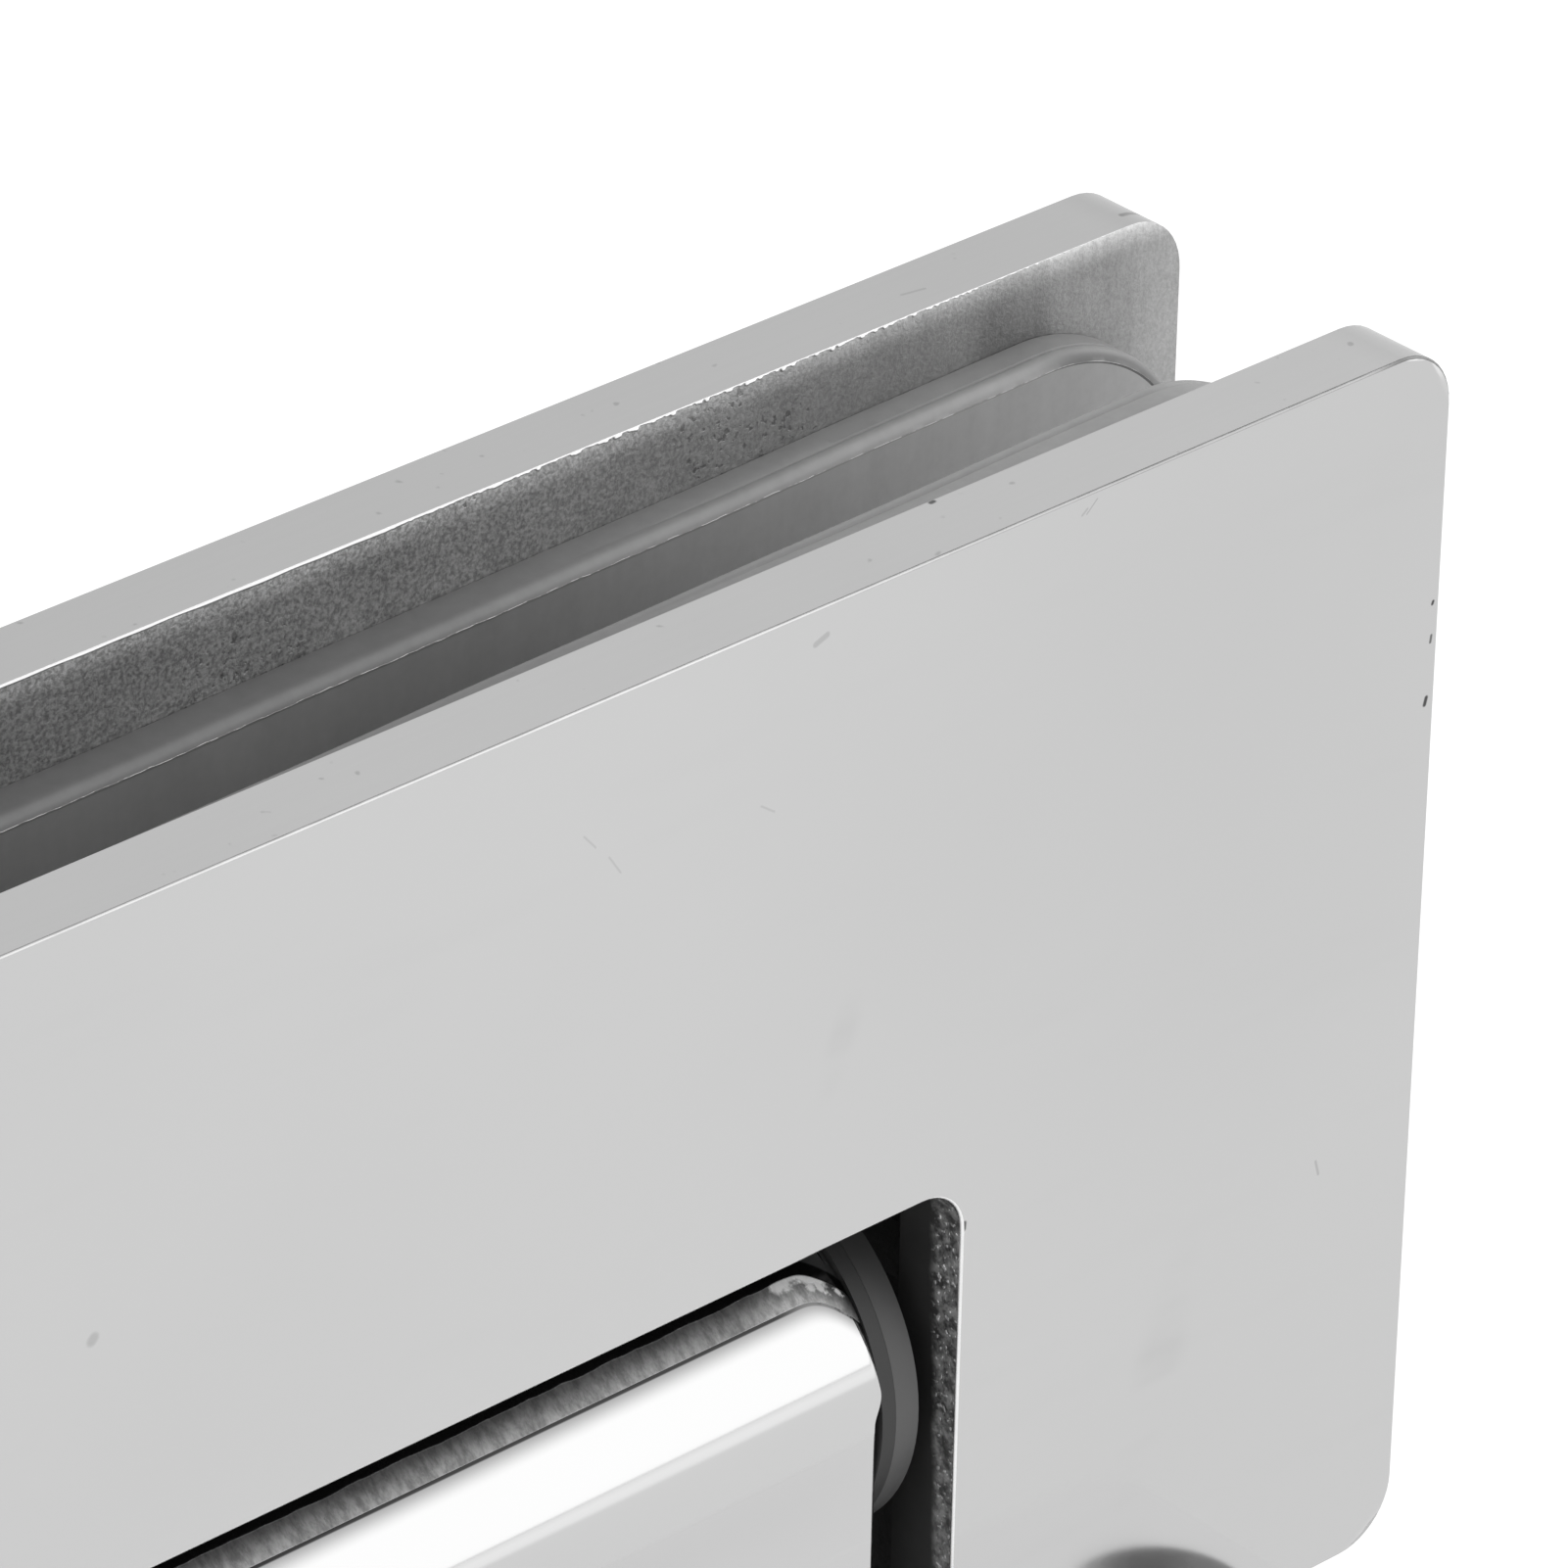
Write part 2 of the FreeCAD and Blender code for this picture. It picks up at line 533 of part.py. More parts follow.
def wall_plate():
    body = new_body("wall_plate")
    face = sketch_on(body, "wall_plate_outline", "XY_Plane")
    rectangle(face, "-sizes.wall_plate_length / 2", "sizes.wall_plate_length / 2",
              "-sizes.wall_plate_width / 2", "sizes.wall_plate_width / 2")
    pad(body, "wall_plate_slab", face, "sizes.wall_plate_thickness")
    across = size("sizes.wall_plate_length / 2")
    along = size("sizes.wall_plate_width / 2")
    corners = [(side_way * across, end_way * along) for side_way in (-1, 1) for end_way in (-1, 1)]
    soften(body, "wall_plate_corners", "Fillet", corner_edges(body, 2, corners), "sizes.wall_plate_corner")
    top = size("sizes.wall_plate_thickness")
    soften(body, "wall_plate_edge_break", "Chamfer", level_edges(body, 2, top), "sizes.edge_break")

    holes = sketch_on(body, "wall_hole_circles", "XY_Plane")
    for across_way in (-1, 1):
        for along_way in (-1, 1):
            circle(holes, f"{across_way} * {WALL_HOLE_X}", f"{along_way} * {WALL_HOLE_Y}",
                   "sizes.wall_hole_diameter / 2")
    cut(body, "wall_holes", holes, side="Symmetric")
    rims = level_edges(body, 2, top, is_ring(size("sizes.wall_hole_diameter")))
    soften(body, "wall_countersinks", "Chamfer", rims,
           "(sizes.wall_head_diameter - sizes.wall_hole_diameter) / 2")

    screw_holes = sketch_on(body, "plate_screw_circles", "XY_Plane")
    for _, way in SIDES:
        circle(screw_holes, f"{way} * {KNUCKLE_SCREW_X}", "0", CLEAR_HOLE)
    cut(body, "plate_screw_holes", screw_holes, side="Symmetric")
    rims = level_edges(body, 2, 0, is_ring(2 * size(CLEAR_HOLE)))
    soften(body, "plate_screw_countersinks", "Chamfer", rims, COUNTERSINK)


# Detent: a bar pressed up against the pin's flats by two springs that stand on the wall plate.
def detent_bar():
    body = new_body("detent_bar")
    face = sketch_on(body, "detent_outline", "XY_Plane")
    rectangle(face, f"-{DETENT_HALF}", DETENT_HALF, "-sizes.detent_width / 2", "sizes.detent_width / 2")
    pad(body, "detent_block", face, "sizes.detent_height", back=True)
    soften(body, "detent_edges", "Chamfer", level_edges(body, 2, 0), "sizes.detent_bevel")
    bores = sketch_on(body, "spring_bore_circles", "XY_Plane", lift="-sizes.detent_height")
    for _, way in SIDES:
        circle(bores, f"{way} * {SPRING_X}", "0", "sizes.spring_diameter / 2 + sizes.spring_play")
    cut(body, "spring_bores", bores, "sizes.spring_bore_depth", back=True)
    place(body, up=f"{PIVOT_Z} - {DETENT_TOP}")


# Stands the wire's section upright at the coil's start, with a flat above and below.
SECTION_TO_COIL = FreeCAD.Rotation(FreeCAD.Vector(1, 0, 0), 90)


def detent_spring(side, way):
    label = f"detent_spring_{side}"
    floor = f"({PIVOT_ABOVE_PLATE} - {DETENT_TOP} - sizes.detent_height + sizes.spring_bore_depth)"
    coil = doc.addObject("Part::Helix", f"{label}_coil")
    coil.setExpression("Pitch", "sizes.spring_pitch")
    coil.setExpression("Height", f"{floor} - sizes.spring_wire - 2 * sizes.running_fit")
    coil.setExpression("Radius", "(sizes.spring_diameter - sizes.spring_wire) / 2")
    wire = doc.addObject("Part::RegularPolygon", f"{label}_wire")
    wire.Polygon = 6
    wire.setExpression("Circumradius", "sizes.spring_wire / 2")
    place(wire, "(sizes.spring_diameter - sizes.spring_wire) / 2", turn=SECTION_TO_COIL)
    spring = doc.addObject("Part::Sweep", label)
    spring.Label = label
    spring.Sections = [wire]
    spring.Spine = (coil, ["Edge1"])
    spring.Solid = True
    spring.Frenet = True
    place(spring, f"{way} * {SPRING_X}",
          up="sizes.wall_plate_thickness + sizes.spring_wire / 2 + sizes.running_fit")
    return spring


# Screws: local Z = 0 is the driven end and the screw points down before it is turned.
HEAD_BACK = FreeCAD.Rotation(FreeCAD.Vector(1, 0, 0), -90)
HEAD_DOWN = FreeCAD.Rotation(FreeCAD.Vector(1, 0, 0), 180)


def socket(body, name, across_flats, depth, lift=None):
    """Hexagonal socket, drawn with a corner on each side of the sketch's horizontal axis."""
    hexagon = sketch_on(body, f"{name}_outline", "XY_Plane", lift=lift)
    corner = f"{across_flats} / sqrt(3)"
    level = f"{across_flats} / 2"
    outline(hexagon, (
        (corner, "0"), (f"{corner} / 2", level), (f"-{corner} / 2", level),
        (f"-{corner}", "0"), (f"-{corner} / 2", f"-{level}"), (f"{corner} / 2", f"-{level}"),
    ))
    cut(body, name, hexagon, depth)


def countersunk_screw(label):
    body = new_body(label)
    head = "sizes.clamp_screw_head / 2"
    shank = "sizes.clamp_screw_diameter / 2"
    cone = f"-sizes.head_rim - ({head} - {shank})"
    half = sketch_on(body, f"{label}_half_section", "XZ_Plane")
    outline(half, (
        ("0", "0"), (head, "0"), (head, "-sizes.head_rim"), (shank, cone),
        (shank, "-sizes.clamp_screw_length"), ("0", "-sizes.clamp_screw_length"),
    ))
    turn_profile(body, f"{label}_turning", half, axis="V_Axis")
    socket(body, f"{label}_socket", "sizes.hex_socket", "sizes.socket_depth")
    return body


def clamp_screws():
    for side, way in SIDES:
        for level_name, level in LEVELS:
            body = countersunk_screw(f"clamp_screw_{level_name}_{side}")
            place(body, f"{way} * {CLAMP_SCREW_X}", f"{GAP} / 2 + sizes.plate_thickness - sizes.head_sink",
                  f"{PIVOT_Z} + {level} * {SCREW_RISE}", turn=HEAD_BACK)


def knuckle_screws():
    for side, way in SIDES:
        body = countersunk_screw(f"knuckle_screw_{side}")
        place(body, f"{way} * {KNUCKLE_SCREW_X}", up="sizes.head_sink", turn=HEAD_DOWN)


def pin_screws():
    """Grub screws that press on the pin from below, one in each boss."""
    for side, way in SIDES:
        label = f"pin_screw_{side}"
        body = new_body(label)
        face = sketch_on(body, f"{label}_circle", "XY_Plane")
        circle(face, "0", "0", "sizes.pin_screw_diameter / 2")
        pad(body, f"{label}_rod", face, "sizes.pin_screw_length", back=True)
        socket(body, f"{label}_socket", "sizes.pin_screw_socket", "sizes.socket_depth")
        place(body, f"{way} * {PIN_SCREW_X}", up=f"{PIVOT_Z} - {PIN_SCREW_DEPTH}", turn=HEAD_DOWN)


wall_plate()
knuckle()
front_plate = clamp_plate("front_plate", front=True)
add_pin_bosses(front_plate)
back_plate = clamp_plate("back_plate", front=False)
add_screw_seats(back_plate)
gasket("front_gasket", front=True)
gasket("back_gasket", front=False)
pivot_pin()
detent_bar()
springs = []
for side_name, side_way in SIDES:
    bush(side_name, side_way)
    thrust_washer(side_name, side_way)
    springs.append(detent_spring(side_name, side_way))
clamp_screws()
knuckle_screws()
pin_screws()
doc.recompute()


# Every feature and every finished piece is sound before anything is written.
for item in doc.Objects:
    if "Invalid" in item.State or "Error" in item.State:
        raise RuntimeError(f"{item.Label} failed: {item.State}")
pieces = [item for item in doc.Objects if item.TypeId == "PartDesign::Body"] + springs
for piece in pieces:
    if piece.Shape.isNull() or not piece.Shape.isValid():
        raise RuntimeError(f"{piece.Label} has no sound shape")
os.makedirs("parts", exist_ok=True)
for piece in pieces:
    piece.Shape.exportStep(f"parts/{piece.Label}.step")
    print(f"{piece.Label}: {len(piece.Shape.Solids)} solid, {piece.Shape.Volume:.1f} mm3")
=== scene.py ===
import math

import bmesh
import bpy
import numpy as np
from mathutils import Matrix


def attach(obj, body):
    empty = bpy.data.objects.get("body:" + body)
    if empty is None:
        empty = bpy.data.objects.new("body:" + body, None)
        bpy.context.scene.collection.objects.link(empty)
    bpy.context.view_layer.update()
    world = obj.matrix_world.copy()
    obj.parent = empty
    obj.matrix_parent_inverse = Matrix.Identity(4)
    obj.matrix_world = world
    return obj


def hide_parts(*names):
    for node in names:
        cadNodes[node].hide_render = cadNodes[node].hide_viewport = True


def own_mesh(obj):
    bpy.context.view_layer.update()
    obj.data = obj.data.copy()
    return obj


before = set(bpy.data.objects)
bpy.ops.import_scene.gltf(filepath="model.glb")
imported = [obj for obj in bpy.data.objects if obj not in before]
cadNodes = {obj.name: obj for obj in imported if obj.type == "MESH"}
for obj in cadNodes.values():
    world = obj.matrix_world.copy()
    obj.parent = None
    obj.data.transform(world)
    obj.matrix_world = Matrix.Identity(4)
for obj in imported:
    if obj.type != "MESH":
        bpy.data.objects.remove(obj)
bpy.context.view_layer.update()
print("frame loaded:", len(cadNodes), "pieces")

mm = 0.001

# Sizes of the CAD, in millimetres, which the finishes and the finer forms follow.
part = {
    "plateInner": 6.1, "plateOuter": 9.7,  # faces of the clamp plates, from the middle
    "plateTop": 66.25,
    "notchHalf": 24.75, "notchTop": 36.5, "notchCorner": 1.6,
    "axis": 25.5,  # height of the pivot
    "headRadius": 8.85,  # round head of the knuckle
    "screwAcross": 37.875, "screwRise": 10.82,  # clamp screws, from the middle and from the pivot
    "wallPlate": (49.0, 25.0),  # half its length and width
}


# Shader maths written as plain expressions.
class Value:
    # A shader socket; each sign between two of them, or with a number, adds its Math node.
    def __init__(self, finish, socket):
        self.finish = finish
        self.socket = socket

    def joined(self, operation, first, second):
        return self.finish.add("ShaderNodeMath", {"operation": operation}, {0: first, 1: second})

    def signFor(operation, turnedRound=False):
        if turnedRound:
            return lambda self, other: self.joined(operation, other, self)
        return lambda self, other: self.joined(operation, self, other)

    __add__ = __radd__ = signFor("ADD")
    __mul__ = __rmul__ = signFor("MULTIPLY")
    __sub__, __rsub__ = signFor("SUBTRACT"), signFor("SUBTRACT", True)
    __truediv__ = signFor("DIVIDE")
    __pow__ = signFor("POWER")
    larger = signFor("MAXIMUM")
    angleTo = signFor("ARCTAN2")

    def size(self):
        return self.finish.add("ShaderNodeMath", {"operation": "ABSOLUTE"}, {0: self})

    def between(self, low, high, fromLow=0.0, fromHigh=1.0):
        # Smooth step from one level to another while the value goes from low to high.
        return self.finish.add(
            "ShaderNodeMapRange", {"interpolation_type": "SMOOTHSTEP", "clamp": True},
            {"Value": self, "From Min": low, "From Max": high, "To Min": fromLow, "To Max": fromHigh})


class Finish:
    # The nodes of a material or of the world. add() takes a node's type, its settings, which are set
    # first, and its sockets.
    def __init__(self, owner, outputKind):
        owner.use_nodes = True
        self.owner = owner
        self.tree = owner.node_tree
        self.tree.nodes.clear()
        self.output = self.tree.nodes.new(outputKind)

    def feed(self, socket, value):
        if isinstance(value, Value):
            self.tree.links.new(value.socket, socket)
        elif socket.type == "RGBA" and not hasattr(value, "__len__"):
            socket.default_value = (value, value, value, 1.0)
        else:
            socket.default_value = value

    def add(self, kind, settings=None, sockets=None, out=0):
        node = self.tree.nodes.new(kind)
        for key, value in (settings or {}).items():
            setattr(node, key, value)
        for key, value in (sockets or {}).items():
            self.feed(node.inputs[key], value)
        return Value(self, node.outputs[out])

    def place(self):
        return self.add("ShaderNodeTexCoord", out="Object")

    def stretched(self, vector, scale, turn=(0.0, 0.0, 0.0)):
        return self.add("ShaderNodeMapping", {"vector_type": "POINT"},
                        {"Vector": vector, "Scale": scale, "Rotation": turn})

    def noise(self, vector, scale, detail=2.0, rough=0.5):
        return self.add("ShaderNodeTexNoise", {}, {"Vector": vector, "Scale": scale, "Detail": detail,
                                                   "Roughness": rough})

    def streaks(self, vector, scales, turn=(0.0, 0.0, 0.0), detail=3.0, rough=0.5):
        # Noise drawn out along the axes with the smaller scales.
        return self.noise(self.stretched(vector, scales, turn), 1.0, detail, rough)

    def axes(self, vector):
        node = self.tree.nodes.new("ShaderNodeSeparateXYZ")
        self.feed(node.inputs[0], vector)
        return [Value(self, output) for output in node.outputs]

    def millimetres(self, place):
        # Along the pivot, across the glass and up from the wall.
        return self.axes(self.stretched(place, (1 / mm, 1 / mm, 1 / mm)))

    def bump(self, height, distance, strength=1.0):
        return self.add("ShaderNodeBump", {}, {"Height": height, "Distance": distance, "Strength": strength})

    def stroke(self, across, up, start, end, width):
        # 1 within a short straight mark from start to end, falling to 0 over its width; all in millimetres.
        ex, ez = end[0] - start[0], end[1] - start[1]
        length = max(ex * ex + ez * ez, 1e-6)
        dx, dz = across - start[0], up - start[1]
        share = self.add("ShaderNodeClamp", {}, {"Value": (dx * ex + dz * ez) / length})
        offX, offZ = dx - share * ex, dz - share * ez
        return ((offX * offX + offZ * offZ) ** 0.5).between(width * 0.35, width, 1.0, 0.0)

    def show(self, shader):
        self.tree.links.new(shader.socket, self.output.inputs["Surface"])

    def surface(self, sockets):
        self.show(self.add("ShaderNodeBsdfPrincipled", {}, sockets, out="BSDF"))
        return self.owner


def newFinish(name):
    finish = Finish(bpy.data.materials.new(name), "ShaderNodeOutputMaterial")
    return finish, finish.place()


def greyOf(level):
    # Linear value of a display level from 0 to 255.
    share = level / 255
    return share / 12.92 if share <= 0.04045 else ((share + 0.055) / 1.055) ** 2.4


def linked(name, data):
    item = bpy.data.objects.new(name, data)
    bpy.context.scene.collection.objects.link(item)
    return item


def aimed(item, place, axes):
    # Puts the item at a place, with its own three axes along the given ones.
    item.matrix_world = Matrix.Translation(place) @ Matrix(axes).transposed().to_4x4()


def unit(rows):
    return rows / np.linalg.norm(rows, axis=1, keepdims=True)


# Camera, at the photograph's place.
camera = {
    "place": (-0.2335, -0.2753, 0.2671),
    "right": (0.73814, -0.67439, 0.01852),
    "look": (0.59209, 0.63442, -0.49693),
    "lens": 247.5,
    "sensor": 36.0,
    "clip": (0.01, 50.0),
}


def makeCamera(data):
    look = np.array(data["look"]) / np.linalg.norm(data["look"])
    right = np.array(data["right"]) - look * np.dot(look, data["right"])
    right = right / np.linalg.norm(right)
    up = np.cross(right, look)
    lens = bpy.data.cameras.new("camera")
    lens.lens, lens.sensor_width = data["lens"], data["sensor"]
    lens.clip_start, lens.clip_end = data["clip"]
    bpy.context.scene.camera = linked("camera", lens)
    aimed(bpy.context.scene.camera, data["place"], (right, up, -look))


makeCamera(camera)
print("camera set")

# Studio: pale floor, even world, one large soft lamp low in front and a smaller one at the right.
studio = {
    "worldSeen": 1.0,
    "worldLevel": 0.62,  # what matt surfaces get from the world
    "floorReach": 3.0,
    "floorSeen": 0.9,  # glow of the floor for the camera, before its own light
    "floorMirrored": 0.82,  # the same as polished steel mirrors it
    "floorColour": 0.25,
    "floorMatt": 0.75,  # its colour for the light that it gives back to matt surfaces
    "pool": (0.22, 0.32, 0.27),  # light of the front lamp on the floor: from, full at, in metres, and level
    "poolSpread": (0.45, 0.85),  # cosine of the angle beside the lamp: from, full at
    "target": (0.0, 0.0, 0.035),
    "lamps": (
        # name, azimuth and elevation in degrees, distance, width and height, and the radiance that it
        # adds to the world's white
        ("frontLamp", -40, 20.6, 0.7, (0.62, 0.53), 0.62),
        ("rightLamp", 6, 26, 0.75, (0.42, 0.4), 2.7),
    ),
}


def seenDirectly(finish):
    # 1 for rays from the camera and for rays mirrored by metal or passed by glass.
    node = finish.tree.nodes.new("ShaderNodeLightPath")
    seen, glossy, passed = (Value(finish, node.outputs[name]) for name in
                            ("Is Camera Ray", "Is Glossy Ray", "Is Transmission Ray"))
    return seen.larger(glossy).larger(passed)


def makeWorld(data):
    world = bpy.data.worlds.new("studioWorld")
    bpy.context.scene.world = world
    finish = Finish(world, "ShaderNodeOutputWorld")
    white, even = (finish.add("ShaderNodeBackground", {}, {"Color": 1.0, "Strength": data[key]})
                   for key in ("worldSeen", "worldLevel"))
    finish.show(finish.add("ShaderNodeMixShader", {}, {0: seenDirectly(finish), 1: even, 2: white}))


def makeFloor(data):
    # The mirrored floor is brighter in a pool before the front lamp: a step by the distance from the
    # middle, times a step by the cosine of the angle to the lamp's direction.
    mesh = bpy.data.meshes.new("floor")
    reach = data["floorReach"]
    mesh.from_pydata([(-reach, -reach, 0), (reach, -reach, 0), (reach, reach, 0), (-reach, reach, 0)],
                     [], [(0, 1, 2, 3)])
    linked("floor", mesh)
    finish, place = newFinish("paleFloor")
    matt, shaded = (finish.add("ShaderNodeBsdfDiffuse", {}, {"Color": data[key]})
                    for key in ("floorMatt", "floorColour"))
    byCamera = finish.add("ShaderNodeLightPath", out="Is Camera Ray")
    x, y, _ = finish.axes(place)
    away = (x * x + y * y) ** 0.5
    turn = math.radians(data["lamps"][0][1])
    towards = (x * math.cos(turn) + y * math.sin(turn)) / away.larger(0.01)
    begins, full, level = data["pool"]
    pool = away.between(begins, full) * towards.between(*data["poolSpread"]) * level
    mirrored = pool + data["floorMirrored"]
    strength = mirrored + byCamera * (data["floorSeen"] - mirrored)
    glow = finish.add("ShaderNodeEmission", {}, {"Color": 1.0, "Strength": strength})
    pale = finish.add("ShaderNodeAddShader", {}, {0: shaded, 1: glow})
    finish.show(finish.add("ShaderNodeMixShader", {}, {0: seenDirectly(finish), 1: matt, 2: pale}))
    mesh.materials.append(finish.owner)


def makeLamps(data):
    # Each lamp faces the part; its power gives its face the named radiance.
    target = np.array(data["target"])
    for name, azimuth, elevation, distance, (wide, high), radiance in data["lamps"]:
        turn, lift = math.radians(azimuth), math.radians(elevation)
        back = np.array((math.cos(lift) * math.cos(turn), math.cos(lift) * math.sin(turn), math.sin(lift)))
        side = np.array((-math.sin(turn), math.cos(turn), 0.0))
        lamp = bpy.data.lights.new(name, "AREA")
        lamp.shape, lamp.size, lamp.size_y = "RECTANGLE", wide, high
        lamp.energy = radiance * math.pi * wide * high
        aimed(linked(name, lamp), target + back * distance, (side, np.cross(back, side), back))


makeWorld(studio)
makeFloor(studio)
makeLamps(studio)
bpy.context.scene.view_settings.view_transform = "Standard"
print("studio lit")

# Marks on the front face: start, end, width, depth of tone; across and up, in millimetres.
faceMarks = (
    ((15.9, 64.7), (16.5, 64.92), 0.2, 0.2),
    ((30.15, 65.38), (30.42, 65.58), 0.08, 0.18),
    ((30.4, 65.35), (30.95, 65.85), 0.05, 0.22),
    ((-20.45, 48.0), (-20.35, 48.1), 0.35, 0.2),
    ((50.56, 54.1), (50.6, 54.2), 0.11, 0.85),
    ((50.56, 52.3), (50.6, 52.6), 0.1, 0.7),
    ((50.42, 49.4), (50.5, 49.7), 0.15, 0.85),
    ((4.0, 60.6), (4.6, 59.9), 0.07, 0.12),
    ((5.3, 59.2), (5.9, 58.3), 0.07, 0.12),
    ((13.2, 58.5), (13.9, 58.0), 0.07, 0.12),
    ((45.3, 29.3), (45.5, 28.6), 0.1, 0.2),
    ((24.88, 34.35), (24.9, 34.6), 0.17, 0.75),
)
# The same on both plates' top edges: across, and from front to back.
rimMarks = (
    ((48.4, 7.02), (49.55, 7.16), 0.2, 0.45),
    ((25.2, -6.22), (25.36, -6.2), 0.16, 0.8),
    ((36.5, 7.6), (37.6, 7.4), 0.1, 0.18),
)
# Smudges of the face: middle, half length and half width in millimetres, and lean in radians.
faceSmudges = (
    ((17.8, 46.1), (3.2, 1.1), 1.25),
    ((36.3, 22.6), (7.5, 2.0), 1.3),
)


def marked(finish, across, up, marks):
    # The strongest of the marks' tones at each place.
    total = None
    for start, end, width, tone in marks:
        spot = finish.stroke(across, up, start, end, width) * tone
        total = spot if total is None else total.larger(spot)
    return total


# In the looks that follow, noises are given in waves per metre, places in millimetres.
polish = {
    "clouds": 45.0, "fine": 1400.0,
    "wipes": (60.0, 60.0, 420.0), "wipeTurn": (0.0, 0.6, 0.0),
    "cloudHaze": 0.35, "wipeHaze": 0.25, "smudgeHaze": 1.2,
    "hazeTone": 0.035, "hazeRough": 0.06, "fineRough": 0.02,
    # painted shade: the face is painted darker towards the upper right
    "faceShadeAcross": (5.0, 42.0), "faceShadeUp": (25.0, 60.0),  # where the face grows darker
    "bump": 0.01 * mm,
}


def polishedSteel(name, level, rough, marks=None, smudges=(), faceShade=0.0):
    # Haze = clouds + wipes + smudges, which are wipes inside leaning ellipses. The tone is 1 less a share of
    # the haze, less a painted shade that grows towards the upper right, and is cut by the marks.
    look = polish
    finish, place = newFinish(name)
    cloud = finish.noise(place, look["clouds"], 3.0)
    fine = finish.noise(place, look["fine"], 2.0)
    wipes = finish.streaks(place, look["wipes"], look["wipeTurn"])
    across, _, up = finish.millimetres(place)
    haze = cloud.between(0.35, 0.75) * look["cloudHaze"] + wipes.between(0.55, 0.8) * look["wipeHaze"]
    for (x, z), (long, wide), lean in smudges:
        dx, dz = across - x, up - z
        along = dx * math.cos(lean) + dz * math.sin(lean)
        side = dz * math.cos(lean) - dx * math.sin(lean)
        far = (along * along / (long * long) + side * side / (wide * wide)) ** 0.5
        haze = haze + far.between(0.3, 1.0, 1.0, 0.0) * wipes.between(0.35, 0.7) * look["smudgeHaze"]
    tone = 1.0 - haze * look["hazeTone"]
    # Painted shade, darker towards the upper right of the face.
    if faceShade:
        tone = tone - across.between(*look["faceShadeAcross"]) * up.between(*look["faceShadeUp"], faceShade * 0.5, faceShade)
    if marks:
        tone = tone * (1.0 - marked(finish, across, up, marks))
    return finish.surface({
        "Base Color": tone * level, "Metallic": 1.0,
        "Roughness": haze * look["hazeRough"] + fine * look["fineRough"] + rough,
        "Normal": finish.bump(cloud + fine * 0.01, look["bump"]),
    })


ground = {
    "drift": 70.0, "lines": (60.0, 3500.0, 3500.0), "specks": 1300.0,
    "speckTone": 0.25,
    "frontTone": 1.05, "backTone": 0.97,  # of the two plates' rims
    # painted shade: the rim is painted darker where the top edge turns down
    "corner": (46.5, 49.5), "cornerShadeTone": 0.90,  # where the top edge turns down
    "marksFrom": (60.0, 62.0),  # marks are on the top edge only
    "bump": 0.006 * mm,
}


def groundSteel(name, level, rough, marks=None):
    # Ground edge: fine lines run along it, the tone drifts slowly and small dark specks lie on it.
    look = ground
    finish, place = newFinish(name)
    drift = finish.noise(place, look["drift"], 3.0)
    lines = finish.streaks(place, look["lines"])
    specks = finish.noise(place, look["specks"], 1.0).between(0.72, 0.8)
    across, depth, up = finish.millimetres(place)
    tone = (0.95 + drift * 0.06 + lines * 0.03) * (1.0 - specks * look["speckTone"])
    if marks:
        tone = tone * depth.between(-1.0, 1.0, look["frontTone"], look["backTone"])
        # Painted shade at the corner of the top edge.
        tone = tone * across.between(*look["corner"], 1.0, look["cornerShadeTone"])
        tone = tone * (1.0 - marked(finish, across, depth, marks) * up.between(*look["marksFrom"]))
    return finish.surface({
        "Base Color": tone * level, "Metallic": 1.0, "Roughness": drift * 0.08 + rough,
        "Normal": finish.bump(lines, look["bump"], 0.6),
    })


bevel = {
    "uneven": 900.0,
    "corner": (45.5, 48.5),  # where the top edge turns down, along the pivot
    # painted shade: the dark line where the break meets the rim
    "meeting": (9.615, 9.645), "meetingTone": 0.45,  # the dark line beside the rim
    # painted shade: darker along the top edge towards the right end
    "dimmedAcross": (8.0, 34.0), "dimmedUp": (60.0, 64.0), "dimmedTone": 0.35,
    # painted highlight: brighter round the notch
    "notchAcross": (25.3, 25.5), "notchUp": (36.9, 37.1), "notchHighlightTone": 0.45,  # brighter round the notch
    "bump": 0.004 * mm,
}


def bevelSteel(name, level, rough):
    # Fine edge break: a painted dark line where it meets the rim, bright beside the face. On the top edge it
    # is painted darker towards the right end and at the corner, as painted shade, and round the notch it is
    # painted brighter, as a painted highlight.
    look = bevel
    finish, place = newFinish(name)
    across, depth, up = finish.millimetres(place)
    uneven = finish.noise(place, look["uneven"], 2.0)
    corner = across.between(*look["corner"])
    # Painted shade: the meeting line and the darker top edge; painted highlight round the notch.
    line = (depth.size() + uneven * 0.02).between(*look["meeting"], look["meetingTone"], 0.0)
    meeting = 1.0 - line * (1.0 - corner * 0.8)
    dimmed = (across.between(*look["dimmedAcross"]) + corner * 0.8) * up.between(*look["dimmedUp"])
    inNotch = across.size().between(*look["notchAcross"], 1.0, 0.0) * up.between(*look["notchUp"], 1.0, 0.0)
    tone = (meeting * (1.0 - dimmed * look["dimmedTone"]) + inNotch * look["notchHighlightTone"]) * (0.85 + uneven * 0.2)
    return finish.surface({
        "Base Color": tone * level, "Metallic": 1.0, "Roughness": uneven * 0.1 + corner * 0.3 + rough,
        "Normal": finish.bump(uneven, look["bump"], 0.5),
    })


